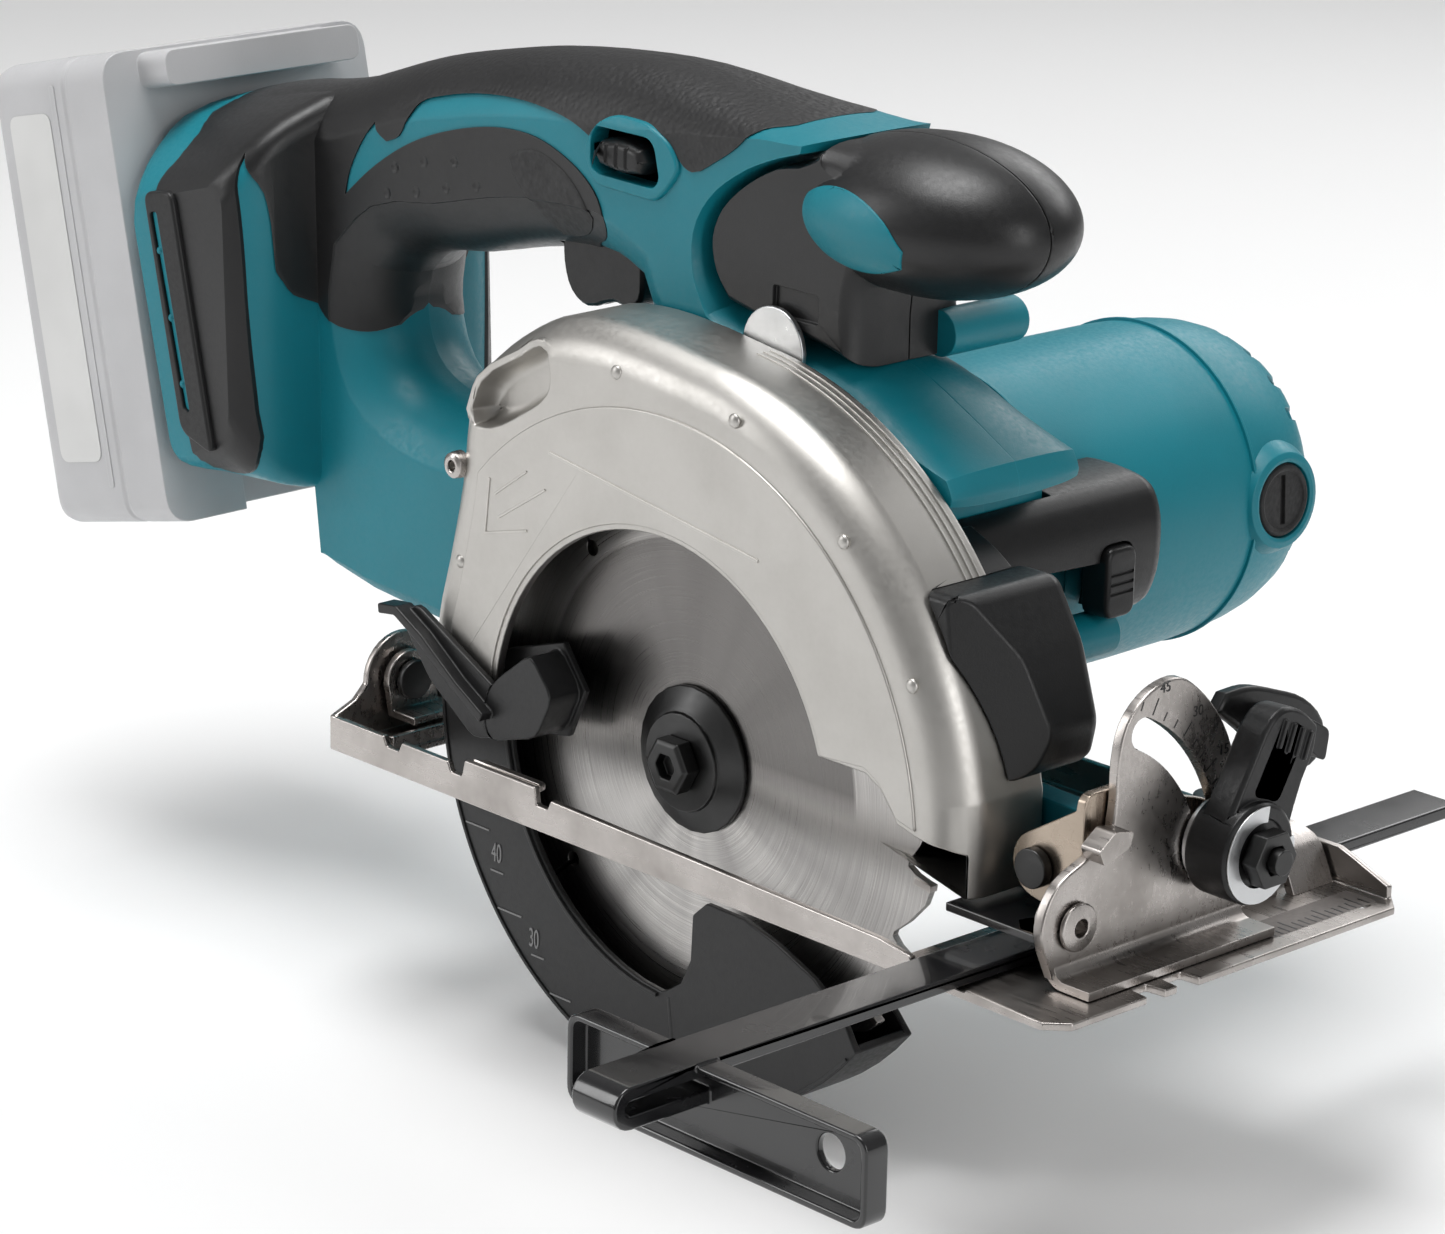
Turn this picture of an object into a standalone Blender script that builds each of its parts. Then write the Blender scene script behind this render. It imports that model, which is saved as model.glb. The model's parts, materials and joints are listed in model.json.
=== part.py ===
"""Compact cordless circular saw with a tilting, depth-adjusting base and a rip fence.

Every shape is written in millimetres about the blade's centre: x runs forward, y towards the motor, z up.
The whole saw is then placed with the sole on z = 0 and the middle of the wide land on y = 0.
"""

import math

import bmesh
import bpy
from mathutils import Matrix, Vector

MM = 0.001
ORIGIN = (0.0, -56.0, 17.0)

BLADE_RADIUS = 68.0
TEETH = 24
MOTOR = (6.0, 38.0)
IDLER = (8.24, 17.12)
SEAM = 30.0
HALF_WIDTH = 18.0
BEVEL_AXIS = (-4.0, -4.0)
DEPTH_AXIS = (94.0, 3.0)
BOLT = (33.3, 4.9)
SLOT_RADIUS = 38.3
DEPTH_RADIUS = 140.0
DEPTH_REST = 3.69
LEAN = math.radians(-12.9)
LEAN_PIVOT = (-182.0, 0.0, 83.0)
BASE_TOP = -15.4
SOLE = -17.0
GUARD_NEAR = -12.7
GUARD_FAR = 11.3


# ---------------------------------------------------------------- outlines

def arc(centre, radius, start, end, steps):
    """Points on a circle from the start angle to the end angle, in degrees."""
    points = []
    for i in range(steps + 1):
        angle = math.radians(start + (end - start) * i / steps)
        points.append((centre[0] + radius * math.cos(angle), centre[1] + radius * math.sin(angle)))
    return points


def circle(centre, radius, sides=24):
    return arc(centre, radius, 0.0, 360.0, sides)[:-1]


def rectangle(x0, x1, y0, y1):
    return [(x0, y0), (x1, y0), (x1, y1), (x0, y1)]


def rounded(corners, radius, steps=3):
    """The outline with every corner turned into a short curve."""
    points = []
    count = len(corners)
    for i in range(count):
        here = Vector(corners[i])
        before = Vector(corners[i - 1]) - here
        after = Vector(corners[(i + 1) % count]) - here
        reach = min(radius, before.length * 0.45, after.length * 0.45)
        start = here + before.normalized() * reach
        end = here + after.normalized() * reach
        for step in range(steps + 1):
            t = step / steps
            point = start * (1 - t) ** 2 + here * 2 * t * (1 - t) + end * t ** 2
            points.append((point.x, point.y))
    return points


def inset(points, amount):
    """The outline moved inwards, each point by the amount times its own weight (third value, 1 if absent)."""
    flat = [Vector(p[:2]) for p in points]
    area = sum(a.cross(b) for a, b in zip(flat, flat[1:] + flat[:1]))
    side = 1.0 if area > 0 else -1.0
    moved = []
    for i, here in enumerate(flat):
        ahead = (flat[(i + 1) % len(flat)] - here).normalized()
        behind = (here - flat[i - 1]).normalized()
        normal = Vector((-ahead.y - behind.y, ahead.x + behind.x)) * side
        normal.normalize()
        edge = Vector((-ahead.y, ahead.x)) * side
        stretch = min(1.0 / max(normal.dot(edge), 0.4), 1.5)
        weight = points[i][2] if len(points[i]) > 2 else 1.0
        point = here + normal * amount * stretch * weight
        moved.append((point.x, point.y))
    return moved


def hull(circles, sides=28):
    """The tight band round a set of circles given as (x, y, radius)."""
    cloud = []
    for x, y, radius in circles:
        cloud += circle((x, y), radius, sides)
    cloud.sort()
    chains = []
    for ordered in (cloud, cloud[::-1]):
        chain = []
        for point in ordered:
            while len(chain) > 1 and turn(chain[-2], chain[-1], point) <= 0:
                chain.pop()
            chain.append(point)
        chains.append(chain[:-1])
    return chains[0] + chains[1]


def turn(a, b, c):
    return (b[0] - a[0]) * (c[1] - a[1]) - (b[1] - a[1]) * (c[0] - a[0])


def band(path, width):
    """A strip of constant width along a path of points."""
    left = []
    right = []
    for i, here in enumerate(path):
        before = Vector(path[max(i - 1, 0)])
        after = Vector(path[min(i + 1, len(path) - 1)])
        along = (after - before).normalized()
        offset = Vector((-along.y, along.x)) * width / 2
        left.append(tuple(Vector(here) + offset))
        right.append(tuple(Vector(here) - offset))
    return left + right[::-1]


def gear_outline(teeth, phase):
    """Straight-sided teeth of module 1 mm with running clearance."""
    points = []
    pitch = 360.0 / teeth
    radius = teeth / 2
    for i in range(teeth):
        middle = phase + i * pitch
        for share, height in ((-0.27, -1.2), (-0.12, 0.9), (0.12, 0.9), (0.27, -1.2)):
            angle = math.radians(middle + share * pitch)
            reach = radius + height
            points.append((reach * math.cos(angle), reach * math.sin(angle)))
    return points


# ---------------------------------------------------------------- solids

def to_object(name, bm):
    bmesh.ops.recalc_face_normals(bm, faces=bm.faces)
    mesh = bpy.data.meshes.new(name)
    bm.to_mesh(mesh)
    bm.free()
    obj = bpy.data.objects.new(name, mesh)
    bpy.context.scene.collection.objects.link(obj)
    return obj


def place(axis, point, level):
    """A flat point (in the plane across the axis) at a level along the axis."""
    if axis == "x":
        return (level, point[0], point[1])
    if axis == "y":
        return (point[0], level, point[1])
    return (point[0], point[1], level)


def loft(name, rings):
    """A closed body through rings of equal point count, capped at both ends."""
    bm = bmesh.new()
    rows = [[bm.verts.new(Vector(point) * MM) for point in ring] for ring in rings]
    count = len(rings[0])
    for low, high in zip(rows, rows[1:]):
        for i in range(count):
            j = (i + 1) % count
            bm.faces.new((low[i], low[j], high[j], high[i]))
    bm.faces.new(rows[0][::-1])
    bm.faces.new(rows[-1])
    return to_object(name, bm)


def slab(name, outline, axis, low, high):
    """A flat outline given thickness along an axis."""
    return loft(name, [[place(axis, p, low) for p in outline], [place(axis, p, high) for p in outline]])


def stacked(name, outline, levels):
    """An x-z outline repeated at levels (y, inset) to give rounded edges."""
    return loft(name, [[place("y", p, y) for p in inset(outline, depth)] for y, depth in levels])


def block(name, low, high):
    return slab(name, rectangle(low[0], high[0], low[1], high[1]), "z", low[2], high[2])


def soft_block(name, low, high, radius, axis="y"):
    """A box whose edges along one axis are rounded."""
    pick = {"x": (1, 2, 0), "y": (0, 2, 1), "z": (0, 1, 2)}[axis]
    outline = rounded(rectangle(low[pick[0]], high[pick[0]], low[pick[1]], high[pick[1]]), radius)
    return slab(name, outline, axis, low[pick[2]], high[pick[2]])


def turned(name, axis, centre, profile, sides=24):
    """A profile of (radius, level) points swept round an axis. It is closed on itself unless it ends on the axis."""
    bm = bmesh.new()
    rows = []
    for radius, level in profile:
        if radius == 0:
            rows.append([bm.verts.new(Vector(place(axis, centre, level)) * MM)])
        else:
            rows.append([bm.verts.new(Vector(place(axis, p, level)) * MM) for p in circle(centre, radius, sides)])
    pairs = list(zip(rows, rows[1:]))
    if profile[0][0] > 0:
        pairs.append((rows[-1], rows[0]))
    for low, high in pairs:
        for i in range(sides):
            j = (i + 1) % sides
            if len(low) == 1:
                bm.faces.new((low[0], high[j], high[i]))
            elif len(high) == 1:
                bm.faces.new((low[i], low[j], high[0]))
            else:
                bm.faces.new((low[i], low[j], high[j], high[i]))
    return to_object(name, bm)


def rod(name, axis, centre, radius, low, high, sides=24):
    return turned(name, axis, centre, [(0, low), (radius, low), (radius, high), (0, high)], sides)


def tube(name, axis, centre, inner, outer, low, high, sides=24):
    profile = [(inner, low), (outer, low), (outer, high), (inner, high)]
    return turned(name, axis, centre, profile, sides)


def combine(obj, tool, operation):
    """Applies one Boolean and removes the tool."""
    modifier = obj.modifiers.new("combine", "BOOLEAN")
    modifier.operation = operation
    modifier.solver = "EXACT"
    modifier.object = tool
    graph = bpy.context.evaluated_depsgraph_get()
    result = bpy.data.meshes.new_from_object(obj.evaluated_get(graph))
    obj.modifiers.clear()
    obj.data = result
    bpy.data.objects.remove(tool)
    bm = bmesh.new()
    bm.from_mesh(result)
    bmesh.ops.remove_doubles(bm, verts=bm.verts, dist=2e-6)
    bmesh.ops.dissolve_degenerate(bm, edges=bm.edges, dist=2e-6)
    bm.to_mesh(result)
    bm.free()
    return obj


def cut(obj, *tools):
    for tool in tools:
        combine(obj, tool, "DIFFERENCE")
    return obj


def fuse(obj, *tools):
    for tool in tools:
        combine(obj, tool, "UNION")
    return obj


def lean_back(obj):
    """Tips an upright shape to the battery's slope."""
    pivot = Vector(LEAN_PIVOT) * MM
    turn_back = Matrix.Translation(pivot) @ Matrix.Rotation(LEAN, 4, "Y") @ Matrix.Translation(-pivot)
    obj.data.transform(turn_back)
    return obj


# ---------------------------------------------------------------- blade group

def blade():
    pitch = 360.0 / TEETH
    outline = []
    for i in range(TEETH):
        tip = -7.2 + i * pitch
        for shift, drop in ((-12.6, 6.8), (-9.0, 4.2), (-4.0, 1.0), (0.0, 0.0), (0.5, 4.6), (1.4, 6.8)):
            angle = math.radians(tip + shift)
            reach = BLADE_RADIUS - drop
            outline.append((reach * math.cos(angle), reach * math.sin(angle)))
    disc = slab("blade", outline, "y", -0.8, 0.8)
    cut(disc, rod("bore", "y", (0, 0), 10.0, -3, 3))
    for angle in (41, 131, 221, 311):
        slot = slab("slot", rectangle(49.2, 75, -0.45, 0.45), "y", -3, 3)
        fuse(slot, rod("eye", "y", (49.2, 0), 1.7, -3, 3, 16))
        slot.data.transform(Matrix.Rotation(math.radians(-angle), 4, "Y"))
        cut(disc, slot)
    return disc


def outer_flange():
    profile = [(3.3, -1.1), (15.5, -1.1), (15.5, -2.1), (11.4, -4.2), (10.4, -4.4), (10.4, -5.4), (3.3, -5.4)]
    return turned("outer_flange", "y", (0, 0), profile)


def blade_bolt():
    head = turned("blade_bolt", "y", (0, 0), [(0, -9.6), (5.2, -9.6), (6.2, -9.0), (6.2, -5.6), (0, -5.6)], 6)
    fuse(head, rod("shank", "y", (0, 0), 3.0, -6.5, 15))
    return cut(head, rod("socket", "y", (0, 0), 2.9, -12, -7.2, 6))


def inner_flange():
    profile = [(3.3, -0.5), (9.6, -0.5), (9.6, 1.1), (15, 1.1), (15, 3.2), (8.5, 5), (3.3, 5)]
    return turned("inner_flange", "y", (0, 0), profile)


def spindle():
    body = rod("spindle", "y", (0, 0), 6.0, 5.2, 20.4)
    return cut(body, rod("thread", "y", (0, 0), 3.25, 4, 16))


def spindle_gear():
    gear = slab("spindle_gear", gear_outline(24, 0.0), "y", 14.6, 20.2)
    return cut(gear, rod("bore", "y", (0, 0), 6.15, 10, 25))


def meshing_phase(centre_a, centre_b, teeth_a, phase_a, teeth_b):
    """The phase of gear b that puts a gap where a tooth of gear a points at it."""
    line = math.degrees(math.atan2(centre_b[1] - centre_a[1], centre_b[0] - centre_a[0]))
    pitch_a = 360.0 / teeth_a
    pitch_b = 360.0 / teeth_b
    offset = ((line - phase_a) / pitch_a) % 1.0
    return line + 180.0 + (offset + 0.5) * pitch_b


def intermediate_gear():
    small_phase = meshing_phase((0, 0), IDLER, 24, 0.0, 14)
    gear = slab("intermediate_gear", gear_outline(14, small_phase), "y", 14.6, 21.0)
    fuse(gear, slab("wheel", gear_outline(32, 0.0), "y", 20.8, 25.0))
    cut(gear, rod("bore", "y", (0, 0), 3.2, 10, 30, 24))
    gear.data.transform(Matrix.Translation((IDLER[0] * MM, 0, IDLER[1] * MM)))
    return gear


def armature_shaft():
    phase = meshing_phase(IDLER, MOTOR, 32, 0.0, 10)
    shaft = slab("armature_shaft", gear_outline(10, phase), "y", 20.8, 25.6)
    shaft.data.transform(Matrix.Translation((MOTOR[0] * MM, 0, MOTOR[1] * MM)))
    return fuse(shaft, rod("shaft", "y", MOTOR, 3.4, 25.0, 142.0, 24))


# ---------------------------------------------------------------- guards

def guard_outline():
    points = [(85, -40), (85, 14)]
    points += arc((0, 0), 86, 10, 85, 15)
    points += [(-5, 87.3), (-20, 88.2), (-34, 86.8), (-45, 82), (-55, 75), (-61, 69), (-63, 62), (-65, 47)]
    points += [(-69, 30), (-72.5, 17), (-73.5, 4), (-74, -40)]
    return points


def below_guard(name, drop=0.0):
    outline = [(-120, 4 - drop), (-73.5, 4 - drop), (85, -5 - drop), (120, -5 - drop), (120, -90), (-120, -90)]
    return slab(name, outline, "y", -60, 60)


def upper_guard():
    outline = guard_outline()
    guard = stacked("upper_guard", outline, [(GUARD_NEAR, 9), (-12.3, 6.5), (-10.8, 3.6), (-8.4, 1.5), (-4.5, 0), (GUARD_FAR, 0)])
    cut(guard, stacked("hollow", outline, [(-10.4, 10), (-8.8, 5.6), (-4.5, 2.5), (8.8, 2.4)]))
    cut(guard, rod("swing_room", "y", (0, 0), 71.9, -10.4, 8.8, 96))
    cut(guard, below_guard("below"))
    fuse(guard, rod("hub", "y", (0, 0), 16.5, 8.85, GUARD_FAR, 48))
    cut(guard, rod("hub_hole", "y", (0, 0), 14.0, 0, 20, 48))
    window = [(-49.1, 4)] + arc((0, 0), 49.3, 175, 18.2, 20)[1:]
    window += [(60, 15.4), (64.2, 13.2), (69, 7.4), (73.9, 6.2), (80.6, 5.2), (83.5, 4), (83.5, -60), (-49.1, -60)]
    return cut(guard, slab("window", window, "y", -16, -6))


def lower_guard():
    """The swinging guard: two side plates, a rim between them, a hub ring and a lift lever."""
    outer = arc((0, 0), 71.5, -39.5, -190, 30)
    inner = [(-48.8, 8.6)] + arc((0, 0), 49.6, -175, -92, 12)
    inner += [(0.2, -48.7), (4.1, -46), (6.9, -40.1), (7.3, -30.2), (11.3, -26.6), (22.4, -26.8)]
    inner += [(31.8, -29.2), (42.6, -33.4), (51.2, -39.3), (53.9, -43.6)]
    near = slab("lower_guard", outer + inner, "y", -8, -6.4)
    rim = arc((0, 0), 71.5, -39.5, -190, 30) + arc((0, 0), 69.7, -190, -39.5, 30)
    fuse(near, slab("rim", rim, "y", -7.9, 7.9))
    far = arc((0, 0), 71.5, -39.5, -190, 30) + [(-16, 3), (-12, -9), (0, -14.8), (12, -9), (14.5, -4)]
    fuse(near, slab("far", far, "y", 6.4, 8))
    fuse(near, tube("ring", "y", (0, 0), 13.5, 16.4, 6.4, 8, 48))
    cut(near, rod("hub_hole", "y", (0, 0), 13.5, 3, 12, 48))
    lobe = [(-47.8, 5), (-44.5, 9), (-34, 17), (-27, 9), (-32, -1), (-46, -5), (-48.2, -2)]
    fuse(near, slab("lobe_root", [(-58, 8), (-49, 13), (-33, 18), (-26, 9), (-31, -2), (-58, -6)], "y", -8, -6.4))
    fuse(near, slab("lobe", rounded(lobe, 2.5, 2), "y", -16.2, -7.2))
    web = [(-76, 15), (-71, 19), (-44, 6), (-44, -4), (-52, -6), (-66, 3)]
    fuse(near, slab("web", rounded(web, 2, 2), "y", -16.0, -14.2))
    blade_edge = band([(-79.5, 16.5), (-74, 17.2), (-66, 13), (-55, 5.5), (-46, 0.5)], 2.2)
    return fuse(near, slab("flange", blade_edge, "y", -19.2, -14.4))


# ---------------------------------------------------------------- gear case and motor

def gear_case_outline(extra):
    return hull([(0, 0, 15.6 + extra), (IDLER[0], IDLER[1], 19.6 + extra), (MOTOR[0], MOTOR[1], 9.0 + extra)])


def lug_outline(extra):
    return hull([(14, 3, 10 + extra), (DEPTH_AXIS[0], DEPTH_AXIS[1], 8 + extra)])


def gear_housing():
    case = slab("gear_housing", gear_case_outline(0), "y", 12, 25.2)
    fuse(case, rod("boss", "y", (0, 0), 13.0, 5.9, 13, 48))
    fuse(case, slab("lug", lug_outline(0), "y", 12.3, 18.4))
    cut(case, slab("gears", gear_case_outline(-1.8), "y", 14.2, 30))
    cut(case, rod("bearing_seat", "y", (0, 0), 11.3, 7.0, 16, 40))
    cut(case, rod("nose_hole", "y", (0, 0), 6.6, 0, 10, 32))
    return cut(case, rod("pivot", "y", DEPTH_AXIS, 2.6, 8, 24, 20))


def gear_plate():
    plate = slab("gear_plate", hull([(IDLER[0], IDLER[1], 12), (MOTOR[0], MOTOR[1], 15)]), "y", 25.6, 30.8)
    cut(plate, rod("bearing_seat", "y", MOTOR, 10.2, 20, 40))
    return cut(plate, rod("shaft_hole", "y", IDLER, 3.2, 20, 40, 24))


def motor_housing():
    profile = [(32.4, 48.4), (35.2, 48.4), (35.4, 80), (35.2, 118), (34.2, 130), (31.8, 141), (29.0, 146), (24, 149)]
    profile += [(0, 150), (0, 147.6), (22.8, 146.4), (30.2, 138), (32.4, 120)]
    shell = turned_shell("motor_housing", MOTOR, profile, 40)
    for angle in (3, 183):
        direction = (math.cos(math.radians(angle)), math.sin(math.radians(angle)))
        hole = rod("brush_hole", "z", (0, 0), 8.2, 24, 60, 24)
        turn_to = Vector((0, 0, 1)).rotation_difference(Vector((direction[0], 0, direction[1])))
        hole.data.transform(turn_to.to_matrix().to_4x4())
        hole.data.transform(Matrix.Translation((MOTOR[0] * MM, 130 * MM, MOTOR[1] * MM)))
        cut(shell, hole)
    for i in range(10):
        angle = math.radians(18 + i * 36)
        centre = (MOTOR[0] + 25.5 * math.cos(angle), MOTOR[1] + 25.5 * math.sin(angle))
        cut(shell, rod("vent", "y", centre, 2.6, 141, 155, 12))
    return shell


def turned_shell(name, centre, profile, sides):
    """A cup: a profile that starts at the rim, crosses the axis at its end and comes back inside."""
    half = next(i for i, point in enumerate(profile) if point[0] == 0)
    outside = [(0, profile[0][1])] + profile[1:half + 1]
    inside = [(0, profile[0][1] - 4), (profile[0][0], profile[0][1] - 4)] + profile[half + 2:][::-1] + [profile[half + 1]]
    cup = turned(name, "y", centre, outside, sides)
    return cut(cup, turned("inside", "y", centre, inside, sides))


def radial_rod(name, angle, radius, low, high, level, sides=24):
    """A rod that points away from the motor's axis."""
    direction = Vector((math.cos(math.radians(angle)), 0, math.sin(math.radians(angle))))
    body = rod(name, "z", (0, 0), radius, low, high, sides)
    body.data.transform(Vector((0, 0, 1)).rotation_difference(direction).to_matrix().to_4x4())
    body.data.transform(Matrix.Translation((MOTOR[0] * MM, level * MM, MOTOR[1] * MM)))
    return body


def brush_cap(name, angle):
    cap = radial_rod(name, angle, 7.9, 30.2, 36.2, 130)
    slot = block("slot", (-6, -0.8, 35), (6, 0.8, 40))
    direction = Vector((math.cos(math.radians(angle)), 0, math.sin(math.radians(angle))))
    slot.data.transform(Vector((0, 0, 1)).rotation_difference(direction).to_matrix().to_4x4())
    slot.data.transform(Matrix.Translation((MOTOR[0] * MM, 130 * MM, MOTOR[1] * MM)))
    return cut(cap, slot)


def carbon_brush(name, angle):
    return radial_rod(name, angle, 3.6, 11.2, 29.6, 130, 16)


def cooling_fan():
    hub = tube("cooling_fan", "y", MOTOR, 3.6, 10, 40, 52)
    fuse(hub, tube("disc", "y", MOTOR, 9.0, 28, 50.5, 52))
    for i in range(9):
        fin = block("fin", (9.5, 41, -0.8), (27, 50.8, 0.8))
        fin.data.transform(Matrix.Rotation(math.radians(i * 40), 4, "Y"))
        fin.data.transform(Matrix.Translation((MOTOR[0] * MM, 0, MOTOR[1] * MM)))
        fuse(hub, fin)
    return hub


# ---------------------------------------------------------------- housing

MAIN = [
    (-168.5, 25, .6), (-155, 23.5, .5), (-143, 22, .3), (-141, 7, .3), (-133, 3, .5), (-102, -1, .6),
    (-90, -2, .6), (-66, -6, .6), (-45, -8.4, 1), (-20, -9, .8), (20, -9, .5), (34, -3, .4), (44, 8, .4),
    (48.5, 20, .3), (48.5, 61.8, .08), (57.4, 62.4, .08), (58, 65, .08), (56.5, 69.4, .12), (41.1, 77.5, .4),
    (28.4, 83.1, .5), (14, 86, .5), (2.2, 87.4, .4), (-6, 88.6, .3), (-11.5, 90, .2), (-14.8, 96, .2),
    (-15.6, 104, .15), (-12.2, 111, .1), (-5, 117.4, .05), (4, 122.2, .02), (13, 125.2, .02), (14, 127.4, .05),
    (2, 129.6, .25), (-14, 131.6, .6), (-35.4, 133.6, 1), (-56, 132.8, 1), (-78.6, 130.4, 1), (-96, 127.2, 1),
    (-114, 123, 1), (-126, 119, 1), (-138, 115, 1), (-152, 112, .8), (-166.5, 109.6, .5), (-186.3, 103.8, .4),
]
FINGER_HOLE = [
    (-96, 84), (-114, 80.5), (-120.4, 75), (-121.5, 66), (-118, 56), (-108, 50.5), (-84, 50), (-64, 54.5),
    (-50, 62), (-40, 72), (-37, 82), (-40, 88), (-48, 91), (-62, 91), (-78, 88.4),
]
EDGE = ((0, 0), (5, 0.5), (9, 1.8), (13, 4.4), (16, 8.0), (HALF_WIDTH, 12.5))


def levels(side, edge, shrink):
    """Levels of a half, starting just past the seam and ending at its outer side."""
    found = [(SEAM, edge[0][1] + shrink)]
    for depth, amount in edge[1:]:
        found.append((SEAM + side * (depth - shrink), amount + shrink))
    return found


def rear_ring(depth, rear_top, front_top, front_bottom, grow, side):
    corners = [
        (-182 - (rear_top - 83) * 0.229 + grow, rear_top - grow), (-168.7 + grow, 24.6 + grow),
        (front_bottom[0] - grow, front_bottom[1] + grow), (front_top[0] - grow, front_top[1] - grow),
    ]
    return [place("y", p, SEAM + side * depth) for p in rounded(corners, 6, 3)]


def rear_box(name, side, shrink):
    """The wide end that carries the battery."""
    stations = [
        (0.0, 103.8, (-136, 114.5), (-135, 23), 0.0), (13.0, 103.2, (-138, 112.5), (-136, 23), 0.0),
        (20.0, 101.5, (-139.5, 109.5), (-137, 24), 0.0), (28.0, 96.0, (-141, 105.5), (-138, 27), 0.0),
        (34.0, 91.0, (-142.5, 101.0), (-140, 31), 1.0), (37.5, 87.5, (-144, 97.0), (-142, 36), 3.0),
    ]
    rings = []
    for depth, rear_top, top, bottom, grow in stations:
        reach = depth if depth == 0 else depth - shrink
        rings.append(rear_ring(reach, rear_top, top, bottom, grow + shrink, side))
    return loft(name, rings)


def housing_half(name, side):
    """One half of the clamshell: hollow, open at the seam, with the finger opening through it."""
    hole = stacked("hole", FINGER_HOLE, [(SEAM - side * 2, 0), (SEAM, 0)] + opening_levels(side, 0))
    shell = stacked(name, MAIN, levels(side, EDGE, 0))
    fuse(shell, rear_box("rear", side, 0))
    hollow = stacked("hollow", MAIN, [(SEAM - side * 3, 3)] + levels(side, EDGE, 3))
    fuse(hollow, rear_box("rear_hollow", side, 3))
    wall = stacked("wall", FINGER_HOLE, [(SEAM - side * 5, -3), (SEAM, -3)] + opening_levels(side, -3))
    cut(hollow, wall)
    cut(shell, hollow, hole)
    return shell


def opening_levels(side, grow):
    """Levels of the finger opening, which flares towards each side of the handle."""
    found = []
    for depth, amount in EDGE[1:]:
        found.append((SEAM + side * depth, grow - amount))
    found.append((SEAM + side * (HALF_WIDTH + 8), grow - EDGE[-1][1] - 4))
    return found


def housing_right():
    shell = housing_half("housing_right", -1)
    cut(shell, slab("case", gear_case_outline(0.4), "y", 0, 25.6))
    cut(shell, slab("lug", lug_outline(0.4), "y", 0, 18.8))
    cut(shell, rod("washer_seat", "y", (6.5, 85), 9.0, 5, 13.4, 32))
    cut(shell, soft_block("lock_hole", (-47.4, 5, 111.6), (-28.6, 20, 121.4), 3))
    return cut(shell, trigger_slot())


def housing_left():
    shell = housing_half("housing_left", 1)
    cut(shell, rod("motor_mouth", "y", MOTOR, 32.6, 31, 60, 48))
    cut(shell, rod("depth_bolt_hole", "y", depth_bolt_centre(), 2.7, 35, 60, 20))
    return cut(shell, trigger_slot())


def trigger_slot():
    return block("trigger_slot", (-66.6, 19.6, 78), (-40.4, 40.4, 97.5))


def trigger():
    outline = [(-66, 96), (-66, 88.5), (-62.5, 80.5), (-58, 79.2), (-50, 82.2), (-44.5, 81.2), (-41, 83.5), (-41, 96)]
    return slab("trigger", rounded(outline, 1.5, 2), "y", 20, 40)


def lock_off_lever():
    return soft_block("lock_off_lever", (-47, 10.4, 112), (-29, 17.5, 121), 3)


def front_grip():
    outline = [
        (-9.8, 90.3, .4), (-13.8, 96.4, .3), (-14.6, 104, .2), (-11.2, 110.4, .1), (-4.2, 116.6, .1), (4.6, 121.4, .1),
        (13.4, 124.4, .2), (15.2, 127.2, .5), (26, 127, 1), (36, 112, 1), (29, 104, .6), (27.2, 98, .6), (26.8, 83.6, .5),
        (16, 86, .5), (2.4, 87.8, .4),
    ]
    stem = stacked("front_grip", outline, [(13.5, 7), (15, 3.6), (18, 1.2), (23, 0), (37, 0), (42, 1.2), (45, 3.6), (46.5, 7)])
    knob = turned("knob", "y", (0, 0), [(0, -23)] + [(math.sin(a) * 16, -23 * math.cos(a)) for a in
                  [math.pi * i / 14 for i in range(1, 14)]] + [(0, 23)], 36)
    knob.data.transform(Matrix.Diagonal((2.0, 1.0, 1.0, 1.0)))
    knob.data.transform(Matrix.Translation((32 * MM, 32 * MM, 114 * MM)))
    fuse(stem, knob)
    body = slab("body_clear", inset([(p[0], p[1]) for p in MAIN], -0.4), "y", 10, 50)
    return cut(stem, body)


def shaft_lock_hood():
    outline = rounded([(30, 29), (51.5, 30), (54.6, 36), (55.6, 44), (54.6, 53), (50, 57), (30, 58)], 3, 3)
    hood = stacked("shaft_lock_hood", outline, [(20, 2.5), (21, 0.9), (23, 0), (74, 0), (76, 0.9), (77, 2.5)])
    cut(hood, rod("motor_clear", "y", MOTOR, 35.9, 10, 90, 48))
    cut(hood, block("body_clear", (0, 10, 10), (48.9, 48.8, 80)))
    return cut(hood, soft_block("button_seat", (46.2, 57.2, 30.6), (60, 66.8, 46.4), 3, "x"))


def nose_cover():
    outline = [(60, 42), (67, 53), (77, 53), (84.4, 41), (89.2, 26), (87.6, 18.4), (78, 14), (66, 16)]
    nose = stacked("nose_cover", rounded(outline, 4, 2), [(-7, 4), (-5.5, 1.6), (-2, 0), (18, 0), (21, 1.2), (22.5, 3)])
    cut(nose, rod("guard_clear", "y", (0, 0), 86.5, -20, 11.7, 96))
    return cut(nose, rod("lamp_seat", "z", (78, 15.5), 3.4, 8, 21.6, 20))


# ---------------------------------------------------------------- battery

def battery_pack():
    outline = rounded(rectangle(-8, 67, 11, 117.5), 6, 3)
    low = [(-228.2, 3.0), (-227.0, 1.0), (-224.0, 0.0), (-182.7, 0.0)]
    rings = [[place("x", p, x) for p in inset(outline, depth)] for x, depth in low]
    pack = loft("battery_pack", rings)
    fuse(pack, slab("head", rounded(rectangle(2, 57, 108.4, 116.5), 3, 2), "x", -190, -172))
    cut(pack, block("channel", (-195.5, 14.0, -10), (-180, 46.0, 78.6)))
    cut(pack, soft_block("button_seat", (-240, 19.6, 93), (-220.6, 39.4, 106), 3, "x"))
    return lean_back(pack)


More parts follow.
